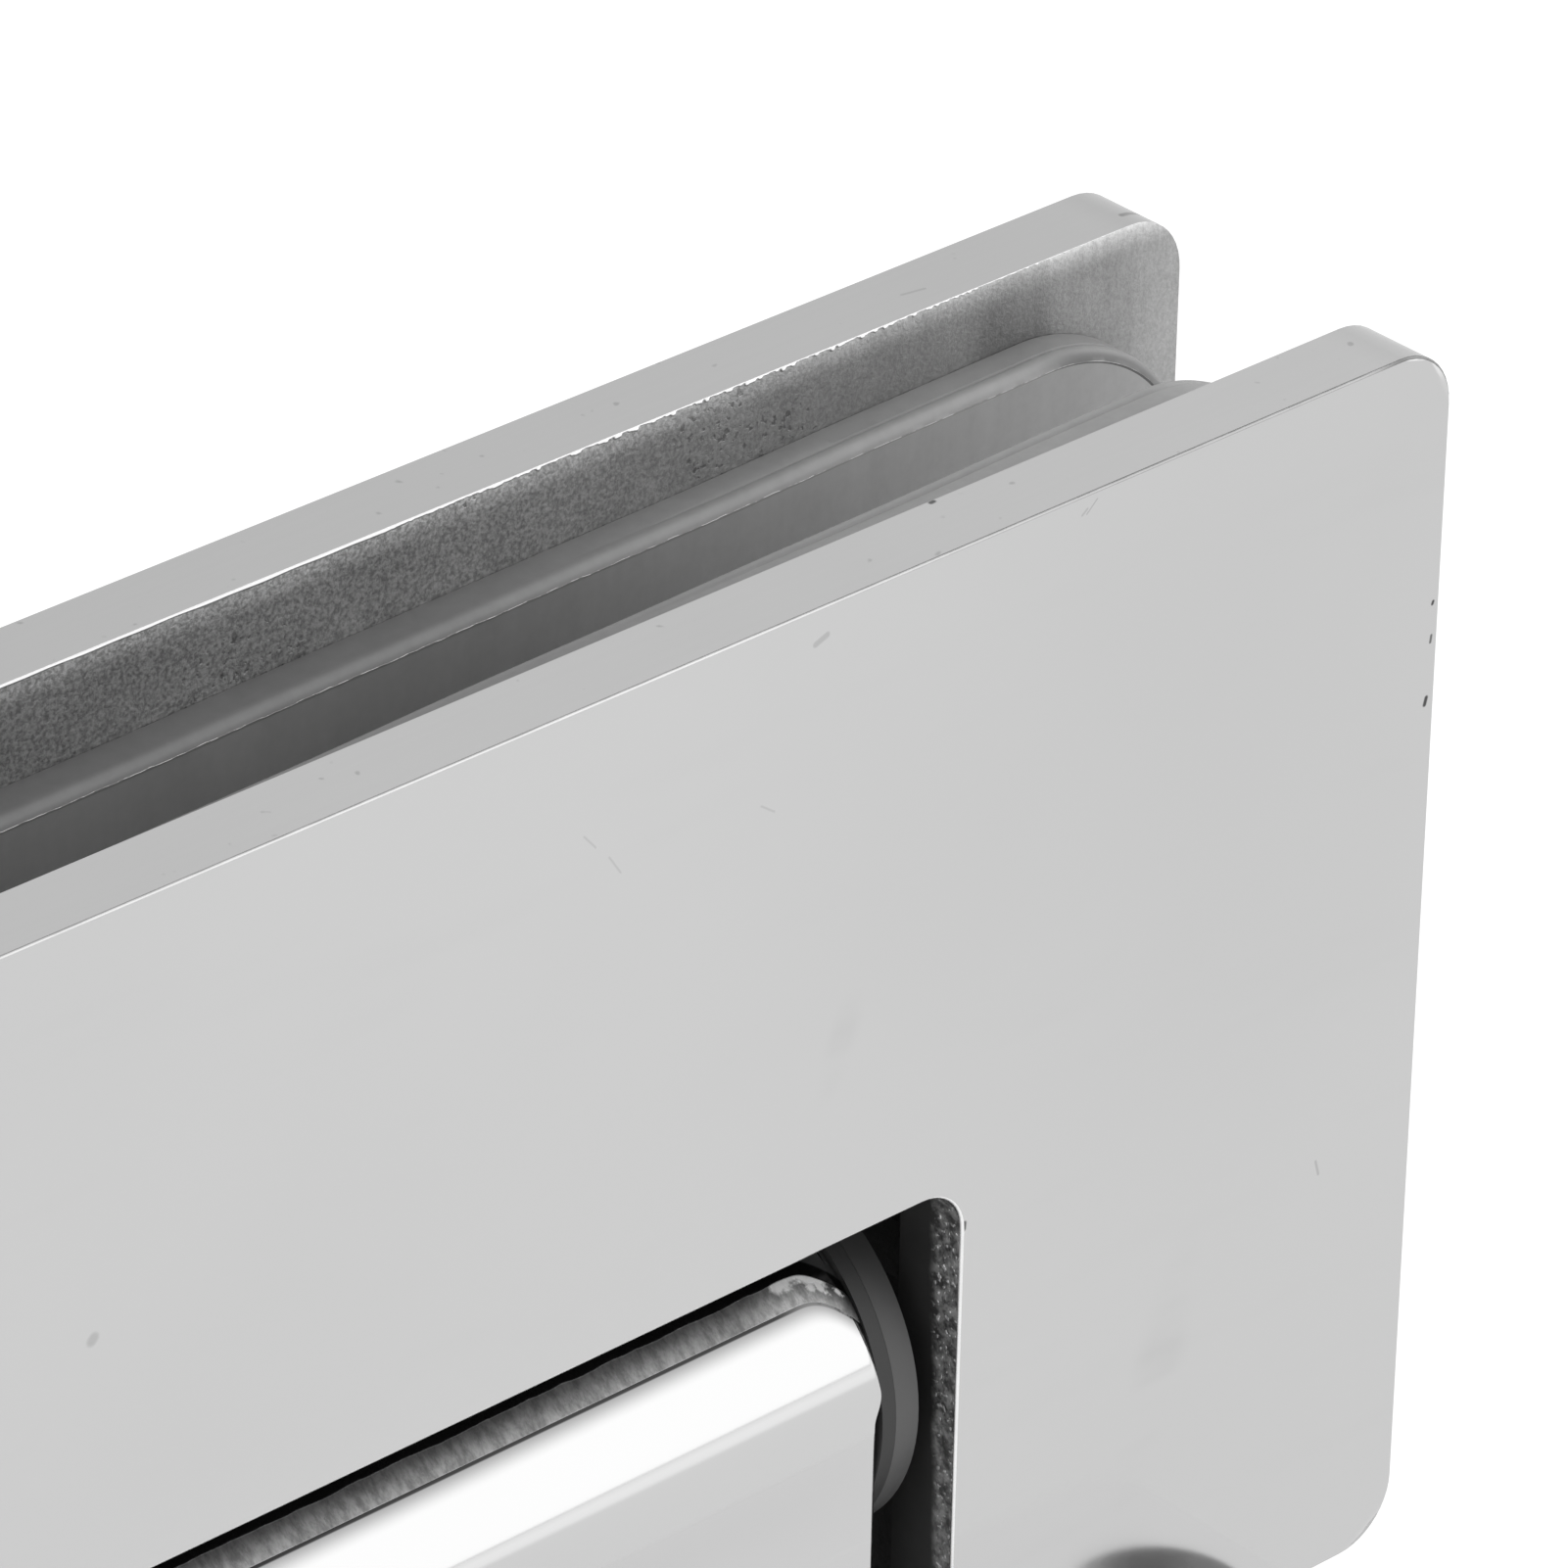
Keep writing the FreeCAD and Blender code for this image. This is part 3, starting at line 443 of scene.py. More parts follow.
cast = {
    "grains": 5200.0, "patches": 330.0, "clusters": 150.0, "pits": 3000.0,
    "streaks": (2600.0, 2600.0, 420.0), "streakTurn": (0.0, 0.35, 0.0),
    "toRight": (8.0, 40.0),  # where the grain turns into streaks
    "pitsEnd": (30.0, 40.0), "pitTone": 0.42,
    # painted highlight: paler under the top edge
    "edge": (64.9, 66.25), "edgeTop": 65.9, "topHighlightTone": 0.85,  # paler under the top edge
    # painted shadow: a darker patch near the right end
    "shadeFrom": (38.5, 40.5), "shadeTo": (42.8, 44.2), "shadeUp": (63.8, 65.4), "shadeTone": 0.24,
    # painted light: the tone rises from the left, dips past the middle and rises again at the right end
    "rise": (-24.0, 12.0), "rightLightTone": 1.24, "rightLightFall": 0.30, "end": (47.0, 51.0), "endLightTone": 0.20,
    "bump": 0.05 * mm,
}


def castSteel(name, level, rough):
    # As-cast skin: fine mottled grain, pits in clusters and upright streaks that grow towards the right end.
    # Painted light and shade: a paler strip under the top edge as a painted highlight, a tone that changes
    # along the plate as painted light from the open end and the top, and a darker patch near the right end
    # as a painted shadow.
    look = cast
    finish, place = newFinish(name)
    across, _, up = finish.millimetres(place)
    grains = finish.noise(place, look["grains"], 3.0, 0.7)
    patches = finish.noise(place, look["patches"], 3.0)
    streaks = finish.streaks(place, look["streaks"], look["streakTurn"])
    clusters = finish.noise(place, look["clusters"], 1.0).between(0.52, 0.62)
    toRight = across.between(*look["toRight"])
    pits = finish.noise(place, look["pits"], 2.0).between(0.58, 0.7)
    pits = pits * clusters * across.between(*look["pitsEnd"], 1.0, 0.1)
    # Painted highlight under the top edge.
    edge = up.between(*look["edge"]) + up.between(look["edgeTop"], look["edge"][1]) * 0.6
    mottle = grains.between(0.3, 0.7) - 0.5
    tone = 0.72 + mottle * (0.62 - toRight * 0.4) + patches * 0.36 + streaks * toRight * 0.3
    # Painted shadow near the right end.
    shaded = across.between(*look["shadeFrom"]) * across.between(*look["shadeTo"], 1.0, 0.0)
    shaded = shaded * up.between(*look["shadeUp"], 1.0, 0.5)
    tone = tone * (1.0 - pits * look["pitTone"]) * (1.0 + edge * look["topHighlightTone"])
    tone = tone * (1.0 - shaded * look["shadeTone"])
    # Painted light along the plate, from the open right end and the top.
    tone = tone * (across.between(*look["rise"], 1.0, look["rightLightTone"]) - toRight * look["rightLightFall"]
                   + across.between(*look["end"]) * look["endLightTone"])
    return finish.surface({
        "Base Color": tone * level, "Metallic": 0.75, "Roughness": grains * 0.15 + rough,
        "Normal": finish.bump(grains + patches * 0.5 - pits * 0.5, look["bump"], 0.8),
    })


notchWall = {
    "outer": (8.25, 8.75),  # from here outwards it is rough
    "shiftUp": (17.0, 36.0), "shift": (-0.45, 0.05),  # the rough band is wider towards the foot
    "wobble": 420.0, "glintSpecks": 3600.0,
    "coarse": (3200.0, 1500.0, 1500.0), "coarseTurn": (0.6, 0.0, 0.0),
    # painted shade: the nearly black tone of the smooth wall; painted glints: the bright specks
    "base": 0.038, "roughTone": 0.04, "coarseTone": 0.52, "glintSpeckTone": 0.60,
    "bump": 0.12 * mm,
}


def cutSteel(name):
    # Walls of the notch: smooth towards the gap and painted nearly black there as shade, rough and speckled
    # along the outer 1.5 mm, with bright specks painted as glints.
    look = notchWall
    finish, place = newFinish(name)
    _, depth, up = finish.millimetres(place)
    wobble = finish.noise(place, look["wobble"], 2.0)
    shift = up.between(*look["shiftUp"], *look["shift"])
    outer = (depth.size() + wobble * 0.7 + shift).between(*look["outer"])
    coarse = finish.streaks(place, look["coarse"], look["coarseTurn"], rough=0.7)
    # Painted glints.
    glintSpecks = finish.noise(place, look["glintSpecks"], 1.0).between(0.6, 0.72)
    speckled = look["roughTone"] + coarse.between(0.35, 0.7) * look["coarseTone"]
    speckled = speckled + glintSpecks * look["glintSpeckTone"]
    return finish.surface({
        # Painted shade: the smooth wall towards the gap is nearly black.
        "Base Color": outer * speckled + look["base"] + wobble * 0.04, "Metallic": 0.45,
        "Roughness": 0.55 - outer * 0.15,
        "Normal": finish.bump((coarse + glintSpecks * 0.5) * outer, look["bump"], 0.9),
    })


def shadedCasting(name):
    # Pin bosses and deep inner faces: never polished, grainy, and painted nearly black as shade deep between
    # the plates.
    finish, place = newFinish(name)
    grains = finish.noise(place, 2600.0, 4.0, 0.65)
    patches = finish.noise(place, 260.0, 3.0)
    return finish.surface({
        "Base Color": 0.014 + grains * 0.024 + patches * 0.018, "Metallic": 0.3,
        "Roughness": 0.5 + grains * 0.2,
        "Normal": finish.bump(grains + patches, 0.06 * mm, 0.7),
    })


rubberLook = {
    "streaks": (1100.0, 1100.0, 160.0), "clouds": 130.0, "grain": 1700.0,
    # painted light: sideRise and sideGain, capRise, capTone and capGain paint the rubber paler towards the
    # right end and on the glass side; lipGain paints a highlight on the lip and shade on its right shoulder
    "sideTone": 0.19, "sideRise": (0.0, 40.0), "sideGain": 0.14,
    "capRise": (6.0, 36.0), "capTone": (0.41, 0.63), "capEnd": (42.0, 48.0), "capGain": 0.14,
    "lip": (4.1, 4.55),  # the lip, from the middle plane
    "lipEnd": (40.0, 43.5), "lipGain": (0.55, -0.35), "frontLip": 0.15,
    "bump": 0.02 * mm,
}


def rubber(name, glassSide=False):
    # Moulded rubber: smooth, softly glossy, with faint upright flow streaks, and painted paler towards the
    # right end as painted light from the open end. The side towards the glass is painted paler still, more
    # so towards the right end: painted light.
    look = rubberLook
    finish, place = newFinish(name)
    across, depth, _ = finish.millimetres(place)
    streaks = finish.streaks(place, look["streaks"], detail=2.0)
    cloud = finish.noise(place, look["clouds"], 3.0)
    # Painted light: the glass side paler, rising towards the right end.
    if glassSide:
        pale = across.between(*look["capRise"], *look["capTone"])
        pale = pale + across.between(*look["capEnd"]) * look["capGain"]
    else:
        # Painted light: paler towards the right end.
        pale = look["sideTone"] + across.between(*look["sideRise"]) * look["sideGain"]
    grain = finish.noise(place, look["grain"], 3.0, 0.6)
    tone = pale * (0.76 + streaks * 0.14 + cloud * 0.18 + grain * 0.16)
    if not glassSide:
        # The lip is painted paler as a painted highlight, but is painted dark on the right shoulder as
        # shade; the front sheet's lip is painted less pale.
        lip = depth.size().between(*look["lip"], 1.0, 0.0) * depth.between(-1.0, 1.0, look["frontLip"], 1.0)
        tone = tone * (lip * across.between(*look["lipEnd"], *look["lipGain"]) + 1.0)
    return finish.surface({
        "Base Color": tone, "Roughness": cloud * 0.12 + 0.4,
        "Normal": finish.bump(streaks + cloud, look["bump"], 0.6),
    })


def flashRubber(name):
    # The moulding flash along the lip: torn and broken into beads; its paler tone is a painted highlight
    # along the lip, painted darker towards the right end, where the highlight fades.
    finish, place = newFinish(name)
    beads = finish.noise(place, 2400.0, 2.0).between(0.42, 0.6)
    across, _, _ = finish.millimetres(place)
    return finish.surface({
        # Painted highlight: the pale flash, darker towards the right end.
        "Base Color": (0.34 + beads * 0.5) * across.between(26.0, 42.0, 1.0, 0.8),
        "Roughness": 0.45 - beads * 0.1,
        "Normal": finish.bump(beads, 0.03 * mm, 0.8),
    })


def plastic(name, level, rough, topShade=0.0):
    # Moulded plastic, painted darker towards its top as shade where it sits under the plates.
    finish, place = newFinish(name)
    _, _, up = finish.millimetres(place)
    cloud = finish.noise(place, 300.0, 3.0)
    rings = finish.streaks(place, (4000.0, 300.0, 300.0), detail=2.0)
    return finish.surface({
        # Painted shade towards the top.
        "Base Color": (0.85 + cloud * 0.3) * up.between(26.5, 34.0, level, level * (1 - topShade)),
        "Roughness": cloud * 0.1 + rough,
        "Normal": finish.bump(rings + cloud, 0.01 * mm, 0.6),
    })


def turnedSteel(name, level, rough):
    # Turned or drawn steel of pins, screws and springs.
    finish, place = newFinish(name)
    lines = finish.streaks(place, (4200.0, 500.0, 500.0))
    cloud = finish.noise(place, 240.0, 3.0)
    return finish.surface({
        "Base Color": (0.9 + cloud * 0.14 + lines * 0.05) * level, "Metallic": 1.0,
        "Roughness": cloud * 0.12 + rough, "Normal": finish.bump(lines, 0.01 * mm, 0.5),
    })


# Painted glints on the head's strip, bright marks that stand in for reflections near its ends: start, end,
# width and depth of tone. They go along the pivot and along the strip's arc from straight up, in
# millimetres.
barrelGlints = (
    ((18.4, 6.12), (19.3, 5.98), 0.42, 0.9),
    ((19.1, 5.98), (19.5, 5.98), 0.34, 1.0),
    ((19.8, 5.98), (20.3, 5.98), 0.42, 1.0),
    ((19.82, 6.25), (19.84, 6.5), 0.24, 0.7),
    ((20.25, 6.15), (20.27, 6.4), 0.28, 0.9),
    ((20.95, 6.12), (21.0, 6.16), 0.24, 1.0),
)
barrel = {
    # along the pivot in millimetres; angles round the pivot in degrees from straight up
    # painted reflection and shade: the strip, its dim and brightened parts and its rise, the dark border,
    # the dark line, the soft start of the white band and the glints are all painted
    "sagAcross": (18.4, 22.3), "sag": 15.0,  # the strip goes down over the rounded end
    "wander": 1.4,  # how much its upper border wanders
    "dimAcross": (20.0, 21.2), "dim": 0.30,
    "brightenedAcross": (16.0, 18.5), "brightened": 0.5,
    "stripFrom": (38.1, 38.8), "stripTo": (46.3, 46.6),
    "shadeFrom": (33.0, 34.0), "shade": 0.9,  # the dark border above the strip
    "lineFrom": (46.2, 46.6), "lineTo": (47.3, 47.8),
    "lineAcross": (17.5, 19.5), "lineDepth": (0.85, 0.45), "tornAcross": (19.5, 20.5), "tornDepth": 0.4,
    "afterFrom": (46.4, 46.6), "afterTo": (46.6, 53.5), "afterTone": 0.42,  # soft start of the white band
    "riseTo": (38.6, 46.4), "rise": (0.10, 0.44),
    "glint": 0.85,
    "wobble": 700.0, "torn": 1500.0, "clouds": 45.0,
    "streaks": (2100.0, 1000.0, 1000.0), "streakTurn": (0.0, 0.0, 0.5),
    "bump": 0.04 * mm,
}


def barrelSteel(name, level, rough):
    # Mirror polish, except for a strip on each shoulder of the round head, found by the angle round the
    # pivot: it is rougher, and its streaky tone is a painted reflection of the notch wall. It has a painted
    # dark border above, ends in a painted dark line, has painted glints near its ends, and the white band
    # below starts with painted shade.
    look = barrel
    finish, place = newFinish(name)
    across, depth, up = finish.millimetres(place)
    out = across.size()
    wobble = finish.noise(place, look["wobble"], 2.0)
    turned = depth.size().angleTo(up - part["axis"]) * (180 / math.pi)
    atEnd = out.between(*look["sagAcross"])
    angle = turned - atEnd * atEnd * look["sag"]
    drifted = angle + wobble * look["wander"] - look["wander"] / 2
    # Painted reflection of the notch wall on the strip, with painted shade and glints.
    dim = out.between(*look["dimAcross"], 1.0, look["dim"])
    strip = drifted.between(*look["stripFrom"]) * angle.between(*look["stripTo"], 1.0, 0.0)
    shade = angle.between(*look["shadeFrom"]) * drifted.between(*look["stripFrom"], 1.0, 0.0)
    line = angle.between(*look["lineFrom"]) * angle.between(*look["lineTo"], 1.0, 0.0)
    # Painted shade: the white band starts dim below the strip.
    after = angle.between(*look["afterTo"], look["afterTone"], 1.0)
    after = after.larger(angle.between(*look["afterFrom"], 1.0, 0.0))
    streaks = finish.streaks(place, look["streaks"], look["streakTurn"], 4.0, 0.75)
    torn = finish.noise(place, look["torn"], 3.0, 0.7)
    arc = angle * (math.pi / 180 * part["headRadius"])
    # Painted glints near the strip's ends.
    glints = marked(finish, out + torn * 1.0 - 0.5, arc + torn * 0.8 - 0.4, barrelGlints)
    brightened = out.between(*look["brightenedAcross"]) * look["brightened"] + 1.0
    rise = angle.between(*look["riseTo"], *look["rise"])
    inStrip = rise * (0.62 + streaks.between(0.3, 0.7) * 0.75) * dim * brightened + glints * look["glint"]
    lineDepth = out.between(*look["lineAcross"], *look["lineDepth"])
    lineDepth = lineDepth + torn.between(0.5, 0.6) * out.between(*look["tornAcross"]) * look["tornDepth"]
    cloud = finish.noise(place, look["clouds"], 3.0)
    polished = (0.99 + cloud * 0.02) * level * after
    plain = polished * (1.0 - strip) * (1.0 - line * lineDepth) * (1.0 - shade * look["shade"])
    return finish.surface({
        "Base Color": plain + inStrip * strip, "Metallic": 1.0 - strip * (0.55 + glints * 0.45),
        "Roughness": strip * 0.45 + cloud * 0.02 + rough,
        "Normal": finish.bump(streaks * strip, look["bump"], 0.8),
    })


finishes = {
    # name, then mostly brightness and roughness
    "face": polishedSteel("polishedFace", greyOf(205), 0.07, faceMarks, faceSmudges, 0.066),
    "back": polishedSteel("polishedBack", greyOf(205), 0.08),
    "bevel": bevelSteel("brokenEdge", greyOf(212), 0.22),
    "rim": groundSteel("groundRim", greyOf(183), 0.26, rimMarks),
    "wallRim": groundSteel("groundWallRim", greyOf(186), 0.24),
    "cast": castSteel("castInside", greyOf(168), 0.5),
    "cut": cutSteel("cutNotch"),
    "dark": shadedCasting("shadedCasting"),
    "knuckle": barrelSteel("mirrorKnuckle", greyOf(205), 0.07),
    "wall": polishedSteel("polishedWallPlate", greyOf(205), 0.08),
    "bore": turnedSteel("boredSteel", greyOf(150), 0.3),
    "rubber": rubber("gasketRubber"),
    "glassSide": rubber("glassSideRubber", True),
    "flash": flashRubber("gasketFlash"),
    "washer": plastic("washerPlastic", 0.125, 0.38, 0.62),
    "bush": plastic("bushPlastic", 0.038, 0.42),
    "pin": turnedSteel("pinSteel", greyOf(190), 0.22),
    "spring": turnedSteel("springSteel", greyOf(160), 0.3),
    "screw": turnedSteel("screwSteel", greyOf(195), 0.2),
    "burr": polishedSteel("burrSteel", 0.8, 0.4),
}
print("finishes made")


# Metal pieces: merged copies of the CAD solids, smooth-shaded, with several finishes.
def addPiece(name, mesh, body, nodeName=None):
    piece = linked(name, mesh)
    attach(piece, body)
    if nodeName:
        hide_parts(nodeName)
    return piece


def threes(collection, key):
    # A vector of each of the mesh's vertices or faces, as rows.
    values = np.empty(len(collection) * 3, np.float32)
    collection.foreach_get(key, values)
    return values.reshape(-1, 3)


def faceArrays(mesh):
    # Centres, in millimetres, and normals of a mesh's faces.
    return threes(mesh.polygons, "center") * 1000, threes(mesh.polygons, "normal")


def moveVertices(mesh, spots):
    mesh.vertices.foreach_set("co", spots.reshape(-1))
    mesh.update()


def mergedMesh(nodeName, name):
    # The CAD's loose triangles, copied and joined along their edges.
    work = bmesh.new()
    work.from_mesh(cadNodes[nodeName].data)
    bmesh.ops.remove_doubles(work, verts=work.verts, dist=0.002 * mm)
    mesh = bpy.data.meshes.new(name)
    work.to_mesh(mesh)
    work.free()
    if "custom_normal" in mesh.attributes:
        mesh.attributes.remove(mesh.attributes["custom_normal"])
    return mesh


def finishPiece(piece, sharpAngle, names, picked):
    # Smooth shading broken at edges over the angle, flat faces kept flat, one finish for each face.
    mesh = piece.data
    mesh.materials.clear()
    for key in names:
        mesh.materials.append(finishes[key])
    mesh.polygons.foreach_set("material_index", picked.astype(np.int32))
    mesh.polygons.foreach_set("use_smooth", np.ones(len(mesh.polygons), bool))
    mesh.set_sharp_from_angle(angle=math.radians(sharpAngle))
    mesh.update()
    shading = piece.modifiers.new("shading", "WEIGHTED_NORMAL")
    shading.keep_sharp, shading.weight = True, 100


def oneFinish(centres, normals):
    return np.zeros(len(centres), int)


def mergedCopy(nodeName, name, body, names, chooser=oneFinish, reshape=None, sharpAngle=40):
    mesh = mergedMesh(nodeName, name)
    if reshape:
        reshape(mesh)
    piece = addPiece(name, mesh, body, nodeName)
    finishPiece(piece, sharpAngle, names, chooser(*faceArrays(mesh)))
    return piece


plates = {
    "notchCorner": 2.2,  # radius of the notch's corners in the photo
    "arcReach": 0.35,  # vertices this near to the CAD's arc belong to it
    "narrowing": 0.09,  # the photo's edge break is narrower by this much
    "countersink": 5.5,  # radius round each clamp screw that is left alone
    "screwHole": 5.2,  # radius of the bored finish round each clamp screw
}


def rounderNotch(mesh):
    # Each corner arc of the notch is scaled about its centre to the larger radius and kept tangent.
    old, new, reach = part["notchCorner"], plates["notchCorner"], plates["arcReach"]
    half, top = part["notchHalf"], part["notchTop"]
    spots = threes(mesh.vertices, "co")
    x, z = np.abs(spots[:, 0]) / mm - (half - old), spots[:, 2] / mm - (top - old)
    away = np.hypot(x, z)
    onArc = (x > -0.01) & (z > -0.01) & (away > old - reach) & (away < old + reach)
    onArc &= np.abs(spots[:, 1]) / mm > part["plateInner"] - 0.01
    spots[onArc, 0] = np.sign(spots[onArc, 0]) * (half - new + x[onArc] * new / old) * mm
    spots[onArc, 2] = (top - new + z[onArc] * new / old) * mm
    moveVertices(mesh, spots)


def screwDistance(spots):
    # How far each place is from the nearest clamp screw's axis, in millimetres.
    rise = np.abs(spots[:, 2] - part["axis"]) - part["screwRise"]
    return np.hypot(np.abs(spots[:, 0]) - part["screwAcross"], rise)


def finerEdge(mesh):
    # Narrows the plate's edge break: its line on the face goes outwards and its line on the rim goes
    # towards the face, both by the same amount. A vertex goes along the sum of the normals of the
    # break's faces round it. Countersinks are left alone.
    narrowing = plates["narrowing"] * mm
    centres, normals = faceArrays(mesh)
    level = np.abs(normals[:, 1])
    broken = (level > 0.5) & (level < 0.9) & (screwDistance(centres) > plates["countersink"])
    corners = np.empty(len(mesh.loops), np.int32)
    mesh.loops.foreach_get("vertex_index", corners)
    sides = np.empty(len(mesh.polygons), np.int32)
    mesh.polygons.foreach_get("loop_total", sides)
    faces = np.repeat(np.arange(len(sides)), sides)
    outward = np.zeros((len(mesh.vertices), 3))
    np.add.at(outward, corners[broken[faces]], normals[faces[broken[faces]]])
    spots = threes(mesh.vertices, "co")
    touched = np.abs(outward).sum(1) > 0
    onFace = touched & (np.abs(spots[:, 1]) > (part["plateOuter"] - 0.05) * mm)
    onRim = touched & ~onFace
    flat = outward[:, (0, 2)] / np.maximum(np.linalg.norm(outward[:, (0, 2)], axis=1, keepdims=True), 1e-9)
    spots[onFace, 0] += flat[onFace, 0] * narrowing
    spots[onFace, 2] += flat[onFace, 1] * narrowing
    spots[onRim, 1] += np.sign(spots[onRim, 1]) * narrowing
    moveVertices(mesh, spots)
    rounderNotch(mesh)


def plateFaces(centres, normals):
    # 0 outer face, 1 edge break, 2 ground rim, 3 notch walls, 4 cast inside, 5 dark bosses and the inner
    # face round the notch.
    x, y, z = np.abs(centres[:, 0]), np.abs(centres[:, 1]), centres[:, 2]
    level = np.abs(normals[:, 1])
    picked = np.full(len(x), 5)
    inPlate = y > part["plateInner"] + 0.001
    picked[~inPlate & (y > part["plateInner"] - 0.001) & (level > 0.9)] = 4
    picked[inPlate & (level < 0.5)] = 2
    inNotch = (x < part["notchHalf"] + 0.01) & (z < part["notchTop"] + 0.01)
    picked[inPlate & (level < 0.5) & inNotch] = 3
    picked[inPlate & (level > 0.5) & (level < 0.9)] = 1
    picked[inPlate & (level > 0.9)] = 0
    return picked


def backPlateFaces(centres, normals):
    # The same, and 6 for the screw holes with their countersinks.
    picked = plateFaces(centres, normals)
    picked[(screwDistance(centres) < plates["screwHole"]) & (np.abs(normals[:, 1]) < 0.9)] = 6
    return picked


def wallPlateFaces(centres, normals):
    # 0 polished top and bevel, 1 ground rim, 2 underside and holes.
    level = normals[:, 2]
    picked = np.zeros(len(level), int)
    picked[np.abs(level) < 0.3] = 1
    half, wide = part["wallPlate"]
    inside = (np.abs(centres[:, 0]) < half - 0.5) & (np.abs(centres[:, 1]) < wide - 0.5)
    picked[(level < -0.3) | (inside & (level < 0.95))] = 2
    return picked


mergedCopy("front_plate", "frontPlate", "glass_clamp",
           ("face", "bevel", "rim", "cut", "cast", "dark"), plateFaces, finerEdge, 60)
mergedCopy("back_plate", "backPlate", "glass_clamp",
           ("back", "bevel", "rim", "cut", "cast", "dark", "bore"), backPlateFaces, finerEdge)
mergedCopy("wall_plate", "wallPlate", "wall_side",
           ("wall", "wallRim", "bore"), wallPlateFaces)
for side in ("left", "right"):
    title = side.capitalize()
    mergedCopy(f"thrust_washer_{side}", f"thrustWasher{title}", "glass_clamp", ("washer",))
    mergedCopy(f"bush_{side}", f"bush{title}", "wall_side", ("bush",))
    for level in ("lower", "upper"):
        mergedCopy(f"clamp_screw_{level}_{side}", f"clampScrew{level.capitalize()}{title}", "glass_clamp",
                   ("screw",))
mergedCopy("pivot_pin", "pivotPin", "glass_clamp", ("pin",))

# Knuckle: its bores, slot and underside come from the CAD, its outside is a smooth skin.
knuckle = {
    "halfLength": 21.75, "axis": part["axis"], "radius": part["headRadius"], "flat": 8.29, "foot": 5.0,
    "bore": 5.52, "bored": 21.5,  # the bores of the CAD block end here
    "swellLow": 20.0, "swellHigh": 28.0,  # where the flats swell into the round head
    "drawnIn": 0.913, "drawnLow": 25.9, "drawnHigh": 27.4,  # ends beside the swelling are drawn in
    "crownFlat": 0.12, "crownFrom": 39.0, "crownTo": 58.0,  # slight flattening by the buffing wheel
    "flatEdge": 0.30, "headEdge": 0.85,  # rounding of the ends, on the flats and on the head
    "edgeLow": 26.5, "edgeHigh": 31.0,  # where the one rounding turns into the other
    "skinOut": 8.2, "skinAround": 8.0,  # the CAD's faces beyond these are left to the skin
    "skinEnd": 21.4,
}


def smoothStep(values, low, high):
    share = np.clip((values - low) / (high - low), 0, 1)
    return share * share * (3 - 2 * share)


def gridQuads(rows, columns):
    # Four-sided faces between the neighbours of a grid of points.
    grid = np.arange(rows * columns).reshape(rows, columns)
    return np.stack((grid[:-1, :-1], grid[:-1, 1:], grid[1:, 1:], grid[1:, :-1]), -1).reshape(-1, 4)


def knuckleSkin(data):
    # Cross-section: each flat swells into a circle whose crown is lower by crownFlat. It is carried along
    # the pivot; near the ends it shrinks by edge * (1 - cos turn) and moves out by edge * sin turn, and
    # the end face goes from there to the bore.
    joint = math.degrees(math.acos((data["swellHigh"] - data["axis"]) / data["radius"]))
    angles = np.radians(np.linspace(0, joint, 150))
    crown = data["crownFlat"] * (1 - smoothStep(np.degrees(angles), data["crownFrom"], data["crownTo"]))
    radius = data["radius"] - crown
    height = np.r_[np.linspace(data["swellHigh"], data["swellLow"], 60)[1:],
                   np.linspace(data["swellLow"], data["foot"], 12)[1:]]
    circle = np.sqrt(data["radius"] ** 2 - np.maximum(height - data["axis"], 0) ** 2)
    swell = smoothStep(height, data["swellLow"], data["swellHigh"])
    y = np.r_[radius * np.sin(angles), data["flat"] + (circle - data["flat"]) * swell]
    z = np.r_[data["axis"] + radius * np.cos(angles), height]
    line = np.r_[np.c_[y, z][::-1], np.c_[-y, z][1:]]
    ahead = unit(np.gradient(line, axis=0))
    inward = np.c_[-ahead[:, 1], ahead[:, 0]]
    inward[[0, -1]] = ((-1, 0), (1, 0))
    wider = (data["headEdge"] - data["flatEdge"]) * smoothStep(line[:, 1], data["edgeLow"], data["edgeHigh"])
    edge = data["flatEdge"] + wider
    swelling = np.abs(line[:, 0]) - data["flat"]
    below = 1 - smoothStep(line[:, 1], data["drawnLow"], data["drawnHigh"])
    reach = data["halfLength"] - data["drawnIn"] * swelling * below
    ends = []
    for turn in np.radians(np.linspace(90, 0, 12)):
        ends.append((line + inward * (edge * (1 - np.cos(turn)))[:, None],
                     reach - edge + edge * np.sin(turn)))
    hole = unit(line - (0, data["axis"])) * data["bore"] + (0, data["axis"])
    half = [(hole, np.minimum(reach - 0.02, data["bored"])), (hole, reach)] + ends
    rows = [(spots, -out) for spots, out in half] + [(spots, out) for spots, out in half[::-1]]
    points = np.stack([np.c_[out, spots] for spots, out in rows])
    mesh = bpy.data.meshes.new("knuckleSkin")
    mesh.from_pydata((points.reshape(-1, 3) * mm).tolist(), [], gridQuads(*points.shape[:2]).tolist())
    mesh.update()
    return mesh


